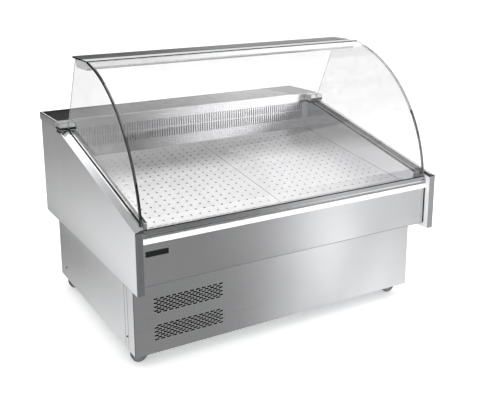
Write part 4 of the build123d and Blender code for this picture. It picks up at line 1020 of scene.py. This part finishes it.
# The right lip is pale above the split height (painted reflection) and black below it (painted shade)
for name, side, top, foot, rubber in (
    ("pane_seal_left", "left", seal_top, seal_foot, black_rubber),
    ("pane_seal_right", "right", seal_top, SEAL_SHADE_SPLIT, clear_seal),
    ("pane_seal_right_shaded_foot", "right", SEAL_SHADE_SPLIT, seal_foot, black_rubber),
):
    low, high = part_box("side_glass_" + side)
    start, end = arc_angle(top, SEAL_OUTER), arc_angle(foot, SEAL_OUTER)
    raise_outlines(
        name,
        [arc_band(SEAL_OUTER, SEAL_INNER, start, end, SEAL_STEPS)],
        (low.x - SEAL_WALL, ARC_Y, ARC_Z),
        RIGHT_FACE,
        high.x - low.x + 2 * SEAL_WALL,
        rubber,
        "counter",
    )

# %% [markdown]
# ## Painted highlights on the glass channels
# A thin white strip runs along the lower edge of each channel, on the side of the well: a painted highlight
# where the fold at the channel's foot catches the light. Its line is read from the channel's own inner face,
# so it follows the slope.

# %% Channel highlight strips
HIGHLIGHT_LOW, HIGHLIGHT_HIGH, HIGHLIGHT_PROUD = 0.0005, 0.0035, 0.0004
CHANNEL_REACH = 0.7
TENTH_MM_DIGITS = 4
for name, inward in (("left", 1), ("right", -1)):
    channel = nodes["glass_channel_" + name].data
    corners = [
        channel.vertices[i].co
        for face in channel.polygons
        if face.normal.x * inward > FACING and abs(face.center.x) < CHANNEL_REACH
        for i in face.vertices
    ]
    front = min(corners, key=lambda corner: (round(corner.y, TENTH_MM_DIGITS), corner.z))
    rear = max(corners, key=lambda corner: (round(corner.y, TENTH_MM_DIGITS), -corner.z))
    line = [(front.y, front.z), (rear.y, rear.z)]
    # A white strip in place of the fold's highlight: a painted highlight
    raise_outlines(
        "channel_highlight_strip_" + name,
        [[(y, z + HIGHLIGHT_LOW) for y, z in line] + [(y, z + HIGHLIGHT_HIGH) for y, z in reversed(line)]],
        (front.x if inward > 0 else front.x - HIGHLIGHT_PROUD, 0, 0),
        RIGHT_FACE,
        HIGHLIGHT_PROUD,
        white_profile,
        "counter",
    )

# %% [markdown]
# ## Rubber on the front glass and the canopy
# A trim covers the crest of the front glass and a thin seal closes its foot on the shoe. Both are bonded
# to the glass and tilt with it. The canopy plate carries a bumper that the crest closes on.

# %% Crest trim, foot seal and bumper
PANE_OUTER, PANE_INNER = 0.6412, 0.6332
TRIM_REACH, TRIM_WALL, TRIM_STEPS = 0.006, 0.0007, 4
FOOT_REACH, FOOT_SUNK = 0.003, 0.0002
BUMPER_HEIGHT, BUMPER_CORNER, BUMPER_LIFT, BUMPER_PROUD = 0.0046, 0.0012, 0.0027, 0.0007
glass_low, glass_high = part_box("front_glass")
glass_width = glass_high.x - glass_low.x
crest = arc_angle(glass_high.z, PANE_OUTER) - TRIM_WALL / PANE_OUTER
shoe_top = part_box("glass_shoe")[1].z
trims = {
    "crest_trim": arc_band(
        PANE_OUTER + TRIM_WALL, PANE_INNER - TRIM_WALL, crest, crest + TRIM_REACH / PANE_OUTER, TRIM_STEPS
    ),
    "foot_seal": arc_band(
        PANE_OUTER + TRIM_WALL,
        PANE_OUTER - FOOT_SUNK,
        arc_angle(shoe_top + FOOT_REACH, PANE_OUTER),
        arc_angle(shoe_top, PANE_OUTER),
        TRIM_STEPS,
    ),
}
for name, outline in trims.items():
    corner = (glass_low.x, ARC_Y, ARC_Z)
    raise_outlines(
        name, [outline], corner, RIGHT_FACE, glass_width, black_rubber, "glass_front"
    )
raise_outlines(
    "canopy_bumper",
    [rounded_rectangle(glass_width, BUMPER_HEIGHT, BUMPER_CORNER)],
    (0, plate_low.y, plate_low.z + BUMPER_LIFT),
    FRONT_FACE,
    BUMPER_PROUD,
    black_rubber,
    "counter",
)

# %% [markdown]
# ## Joints between the panels
# Where two sheets meet, a bead of sealant fills the joint and shows as a dark line, and where a sheet is
# folded back, its edge shows as a thin ground line. The fascia has a bead at both ends and, along its foot,
# a darker strip that is a painted shade line. Each side of the base has a black strip at its front corner,
# a painted shadow of the gap there, and two fold lines.

# %% Beads and painted shade line of the fascia
FASCIA_BEAD = 0.003
SHADE_LINE_HEIGHT, SHADE_LINE_PROUD = 0.0022, 0.0004
low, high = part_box("front_fascia")
raise_outlines(
    "corner_beads",
    [
        rectangle(low.x, low.z + FASCIA_BEAD, low.x + FASCIA_BEAD, high.z),
        rectangle(high.x - FASCIA_BEAD, low.z + FASCIA_BEAD, high.x, high.z),
    ],
    (0, low.y, 0),
    FRONT_FACE,
    FASCIA_BEAD,
    black_rubber,
    "counter",
)
# A darker strip along the fascia's foot: a painted shade line where the fold meets the shade under it
raise_outlines(
    "fascia_foot_shade_line",
    [rectangle(low.x, low.z, high.x, low.z + SHADE_LINE_HEIGHT)],
    (0, low.y, 0),
    FRONT_FACE,
    SHADE_LINE_PROUD,
    stainless_edge_and_shade,
    "counter",
)

# %% Painted corner shadows and fold lines of the base
FOLD_WIDTH, FOLD_BACK, FOLD_GAP = 0.003, 0.032, 0.002
CORNER_SHADOW_WIDTH = 0.006
LINE_PROUD = 0.0003
panel_low, panel_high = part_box("base_left_panel")
base_front_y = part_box("base_front_panel")[0].y
for name, side, face in (("left", -1, LEFT_FACE), ("right", 1, RIGHT_FACE)):
    place = (side * abs(panel_low.x), panel_low.y, 0)
    corner = side * (base_front_y - panel_low.y)
    # A black strip at the front corner: a painted shadow of the gap between the front panel and the side
    shadow_ends = sorted((corner, corner + side * CORNER_SHADOW_WIDTH))
    raise_outlines(
        "base_corner_shadow_" + name,
        [rectangle(shadow_ends[0], panel_low.z, shadow_ends[1], panel_high.z)],
        place,
        face,
        LINE_PROUD,
        black_rubber,
        "counter",
    )
    fold_foot, fold_top = panel_low.z + FOLD_GAP, panel_high.z - FOLD_GAP
    raise_outlines(
        "base_joint_" + name,
        [
            rectangle(across - FOLD_WIDTH / 2, fold_foot, across + FOLD_WIDTH / 2, fold_top)
            for across in (0, side * FOLD_BACK)
        ],
        place,
        face,
        LINE_PROUD,
        stainless_edge_and_shade,
        "counter",
    )

# %% [markdown]
# ## Edge highlights on the worktop and bands on the clamps
# A thin pale strip along both ends of the worktop is a painted highlight of its edges, and each glass clamp
# wears a rubber band where it bears on the end panel.

# %% Painted edge highlights
EDGE_INSET, EDGE_WIDTH, EDGE_PROUD = 0.003, 0.009, 0.0003
low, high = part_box("worktop")
# Pale strips along the worktop's ends: a painted highlight of its edges
raise_outlines(
    "worktop_edge_highlights",
    [
        rectangle(low.x + EDGE_INSET, low.y + EDGE_INSET, low.x + EDGE_WIDTH, high.y - EDGE_INSET),
        rectangle(high.x - EDGE_WIDTH, low.y + EDGE_INSET, high.x - EDGE_INSET, high.y - EDGE_INSET),
    ],
    (0, 0, high.z),
    TOP_FACE,
    EDGE_PROUD,
    blasted_aluminium,
    "counter",
)

# %% Clamp bands
CLAMP_IN, GLASS_GAP = 0.6697, 0.001
BAND_FOOT, BAND_TOP, BAND_PROUD = 0.003, 0.015, 0.0005
low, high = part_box("glass_clamps")
band_low, band_high = low.z + BAND_FOOT, low.z + BAND_TOP
pane_low, pane_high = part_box("side_glass_right")
band_in, band_out = pane_low.x - GLASS_GAP, pane_high.x + GLASS_GAP
raise_outlines(
    "clamp_bands_front",
    [
        rectangle(-high.x, band_low, -band_out, band_high),
        rectangle(-band_in, band_low, -CLAMP_IN, band_high),
        rectangle(CLAMP_IN, band_low, band_in, band_high),
        rectangle(band_out, band_low, high.x, band_high),
    ],
    (0, low.y, 0),
    FRONT_FACE,
    BAND_PROUD,
    black_rubber,
    "counter",
)
for name, side, face in (("left", -1, LEFT_FACE), ("right", 1, RIGHT_FACE)):
    band_ends = sorted((side * low.y, side * high.y))
    raise_outlines(
        "clamp_band_" + name,
        [rectangle(band_ends[0], band_low, band_ends[1], band_high)],
        (side * high.x, 0, 0),
        face,
        BAND_PROUD,
        black_rubber,
        "counter",
    )

# %% [markdown]
# ## Floor and light
# The studio is a pale floor under an even white sky, with a large soft light overhead and one from the
# front right. The floor glows a little, as a light table does, so that it stays white and the shadow under
# the counter stays soft.

# %% Floor and sky
FLOOR_SIZE = 60.0
edge = FLOOR_SIZE / 2
floor_mesh = bpy.data.meshes.new("floor")
floor_corners = [(-edge, -edge, 0), (edge, -edge, 0), (edge, edge, 0), (-edge, edge, 0)]
floor_mesh.from_pydata(floor_corners, [], [(0, 1, 2, 3)])
floor = bpy.data.objects.new("floor", floor_mesh)
scene.collection.objects.link(floor)
# Painted board: matt and nearly white
pale_floor = finish(
    "pale_floor",
    "#f5f5f5",
    "#f8f8f8",
    (0.7, 0.8),
    (40, 40, 40),
    900,
    **{"Emission Color": linear("#ffffff"), "Emission Strength": 0.35},
)
floor_mesh.materials.append(pale_floor)
floor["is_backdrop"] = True
world = bpy.data.worlds.new("studio")
world.use_nodes = True
sky = world.node_tree.nodes["Background"]
sky.inputs["Color"].default_value = (1, 1, 1, 1)
sky.inputs["Strength"].default_value = 1.0
scene.world = world
scene.view_settings.view_transform = "Standard"
print("floor of", FLOOR_SIZE, "m under a white sky")


# %% Lights
def soft_light(name, place, target, size, watts):
    light = bpy.data.lights.new(name, "AREA")
    light.shape = "SQUARE"
    light.size = size
    light.energy = watts
    lamp = bpy.data.objects.new(name, light)
    lamp.location = place
    lamp.rotation_euler = (Vector(target) - Vector(place)).to_track_quat("-Z", "Y").to_euler()
    lamp.visible_glossy = False
    scene.collection.objects.link(lamp)
    print(name, "light of", size, "m")


soft_light("overhead", place=(0.3, -0.6, 4.2), target=(0, 0, 0.5), size=3.0, watts=70)
soft_light("front_right", place=(3.0, -3.5, 2.6), target=(0, 0, 0.6), size=2.0, watts=40)

# %% [markdown]
# ## Cards for the steel to mirror
# Polished steel has hardly any colour of its own: it shows what stands around it. A product photographer
# sets grey cards where the panels look, and so does this studio. Each card is a row of strips between two
# lines, lit by a level that changes from strip to strip. A card lights up only for light that has been
# reflected somewhere, so it is never seen itself, and it casts no light or shadow. Steel behind glass sees
# its cards through the pane, and only those two cards let that light reach them.

# %% Card tools
card_paint = bpy.data.materials.new("card")
card_paint.use_nodes = True
card_tree = card_paint.node_tree
card_tree.nodes.remove(card_tree.nodes["Principled BSDF"])
card_level = add_node(card_tree, "ShaderNodeAttribute", {}, attribute_name="level")
glow = add_node(card_tree, "ShaderNodeEmission", {"Strength": card_level.outputs["Fac"]})
light_path = add_node(card_tree, "ShaderNodeLightPath", {})
unseen = add_node(card_tree, "ShaderNodeBsdfTransparent", {})
shown = add_node(
    card_tree,
    "ShaderNodeMixShader",
    {0: light_path.outputs["Glossy Depth"], 1: unseen.outputs["BSDF"], 2: glow.outputs["Emission"]},
)
card_tree.links.new(shown.outputs["Shader"], card_tree.nodes["Material Output"].inputs["Surface"])


def reflection_card(name, strips, through_glass=False):
    points = [point for near, far, levels in strips for point in (near, far)]
    faces = [(2 * i, 2 * i + 2, 2 * i + 3, 2 * i + 1) for i in range(len(strips) - 1)]
    mesh = bpy.data.meshes.new(name)
    mesh.from_pydata(points, [], faces)
    mesh.attributes.new("level", "FLOAT", "POINT")
    glows = [level for near, far, levels in strips for level in levels]
    mesh.attributes["level"].data.foreach_set("value", glows)
    mesh.materials.append(card_paint)
    card = bpy.data.objects.new(name, mesh)
    scene.collection.objects.link(card)
    card.visible_camera = False
    card.visible_diffuse = False
    card.visible_transmission = through_glass
    card.visible_shadow = False
    card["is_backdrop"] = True
    print(name, "of", len(faces), "strips")


# %% [markdown]
# ## Cards before the front panels
# The fascia and the base front stand at different depths but show one run of light and dark. The strips
# fan out from the mirror image of the viewer, so each place on a panel mirrors the level that is listed
# for it. The base mirrors the near part of the floor, where its levels are softer, and the fascia the far
# part.

# %% Fans for the base and the fascia
EYE_X, EYE_Y = -1.71, -3.01
FAN_Z = 0.004
front_levels = [
    (-2.0, 0.38, 0.38),
    (-0.42, 0.38, 0.38),
    (-0.28, 0.46, 0.46),
    (-0.14, 0.66, 0.67),
    (0.00, 0.85, 1.04),
    (0.12, 0.95, 1.57),
    (0.24, 1.10, 1.78),
    (0.32, 1.32, 1.08),
    (0.42, 1.42, 0.86),
    (0.54, 1.32, 1.25),
    (0.64, 1.30, 1.00),
    (0.74, 1.28, 0.80),
    (3.0, 1.28, 0.90),
]


def fan_card(name, face_y, shift, near_y, far_y, softened):
    mirrored_y = 2 * face_y - EYE_Y
    strips = []
    for x, soft_level, level in front_levels:
        near, far = (
            EYE_X + (x + shift - EYE_X) * (mirrored_y - y) / (mirrored_y - face_y) for y in (near_y, far_y)
        )
        levels = (soft_level if softened else level, level)
        strips.append(((near, near_y, FAN_Z), (far, far_y, FAN_Z), levels))
    reflection_card(name, strips)


fan_card("base_card", face_y=-0.476, shift=0.052, near_y=-0.46, far_y=-1.35, softened=True)
fan_card("fascia_card", face_y=-0.572, shift=0.0, near_y=-1.35, far_y=-14.0, softened=False)

# %% [markdown]
# ## Cards on the other sides
# Cards on the floor give the ends and the back their run from light to dark. Two stand behind the
# counter, a lower one for the worktop and an upper one for the canopy plate. One stands before the well,
# for the leaning rear air panel and the worktop's lip, and one hangs high behind, for the sheets that lie
# in the well.

# %% Floor and standing cards
CARD_Z, CARD_FAR = 0.003, 12.0
BESIDE, LEFT_NEAR, BEHIND = 0.72, 1.06, 0.62
BACK_Y, BACK_LOW, BACK_TOP, PLATE_TOP = 3.0, 0.4, 1.54, 2.05
SKY_LEFT, SKY_RIGHT = -6.0, 8.0
X, Y, Z = 0, 1, 2


def card_along(name, axis, near, far, levels, through_glass=False):
    strips = []
    for place, level in levels:
        ends = Vector(near), Vector(far)
        for end in ends:
            end[axis] = place
        strips.append((*ends, (level, level)))
    reflection_card(name, strips, through_glass)


left_levels = [(-4.0, 1.40), (0.2, 1.36), (1.0, 1.10), (2.0, 0.74), (3.2, 0.49), (6.0, 0.39), (20.0, 0.39)]
card_along("left_card", Y, (-LEFT_NEAR, 0, CARD_Z), (-CARD_FAR, 0, CARD_Z), left_levels)
near_levels = [(-4.0, 1.15), (-0.1, 1.02), (0.3, 0.78), (0.7, 0.52), (1.1, 0.38), (1.8, 0.33), (20.0, 0.33)]
card_along("near_card", Y, (-BESIDE, 0, CARD_Z), (-LEFT_NEAR, 0, CARD_Z), near_levels)
right_levels = [(-0.46, 1.00), (0.3, 1.15), (0.8, 0.80), (1.6, 0.55), (4.0, 0.40), (12.0, 0.36)]
card_along("right_card", Y, (BESIDE, 0, CARD_Z), (CARD_FAR, 0, CARD_Z), right_levels)
rear_levels = [(-0.72, 0.42), (-0.3, 0.50), (0.1, 0.80), (0.35, 1.20), (0.72, 0.90)]
card_along("rear_card", X, (0, BEHIND, CARD_Z), (0, CARD_FAR, CARD_Z), rear_levels)
back_levels = [(-4.0, 0.01), (0.3, 0.01), (0.55, 0.32), (0.9, 0.38), (1.3, 0.46), (1.8, 0.80), (6.0, 0.85)]
card_along("back_card", X, (0, BACK_Y, BACK_LOW), (0, BACK_Y, BACK_TOP), back_levels)
plate_levels = [(-4.0, 0.14), (0.4, 0.14), (0.7, 0.10), (1.0, 0.12), (1.35, 0.36), (1.8, 0.40), (6.0, 0.45)]
card_along("plate_card", X, (0, BACK_Y, BACK_TOP), (0, BACK_Y, PLATE_TOP), plate_levels)

# %% Cards seen through the glass
WALL_CARD_Y, WALL_CARD_LOW, WALL_CARD_HIGH = -2.2, 0.55, 1.5
wall_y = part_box("rear_air_panel")[0].y
wall_share = (2 * wall_y - EYE_Y - WALL_CARD_Y) / (wall_y - EYE_Y)
wall_places = [(-0.9, 0.02), (-0.27, 0.03), (-0.13, 1.3), (0.05, 2.6), (0.9, 3.6)]
wall_levels = [(EYE_X + (x - EYE_X) * wall_share, level) for x, level in wall_places]
wall_foot, wall_top = (0, WALL_CARD_Y, WALL_CARD_LOW), (0, WALL_CARD_Y, WALL_CARD_HIGH)
card_along("wall_card", X, wall_foot, wall_top, wall_levels, through_glass=True)
sky_levels = [(2.2, 1.5), (2.6, 2.0), (3.8, 2.0), (4.05, 1.4), (4.35, 0.8), (4.8, 0.55), (7.0, 0.55)]
card_along("sky_card", Z, (SKY_LEFT, BACK_Y, 0), (SKY_RIGHT, BACK_Y, 0), sky_levels, through_glass=True)

# %% [markdown]
# ## Camera
# The camera stands where the photograph was taken from, worked out from the corners of the counter in the
# picture. It looks down a little, and its lens is shifted, by an eighth of the frame's width at most.

# %% Camera
IMAGE_WIDTH = 480.0
IMAGE_HEIGHT = 400.0
SENSOR_MM = 36.0
camera_place = (-1.712, -3.010, 1.625)
camera_azimuth, camera_elevation, camera_roll = radians(-28.44), radians(13.71), radians(-0.70)
focal_px = 741.8
centre_px = (215.0, 140.0)
data = bpy.data.cameras.new("camera")
data.sensor_width = SENSOR_MM
data.lens = focal_px / IMAGE_WIDTH * SENSOR_MM
data.shift_x = (IMAGE_WIDTH / 2 - centre_px[0]) / IMAGE_WIDTH
data.shift_y = (centre_px[1] - IMAGE_HEIGHT / 2) / IMAGE_WIDTH
camera = bpy.data.objects.new("camera", data)
back = Vector(
    (
        sin(camera_azimuth) * cos(camera_elevation),
        -cos(camera_azimuth) * cos(camera_elevation),
        sin(camera_elevation),
    )
)
turn = (-back).to_track_quat("-Z", "Y").to_matrix().to_4x4() @ Matrix.Rotation(camera_roll, 4, "Z")
camera.matrix_world = Matrix.Translation(camera_place) @ turn
scene.collection.objects.link(camera)
scene.camera = camera
print("camera at", camera_place)

# %% [markdown]
# ## Sizes
# The box round everything that is drawn is taken, leaving out the floor and the cards. Nothing added here
# may make the counter larger than the imported model.

# %% Box of what is drawn
low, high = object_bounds()
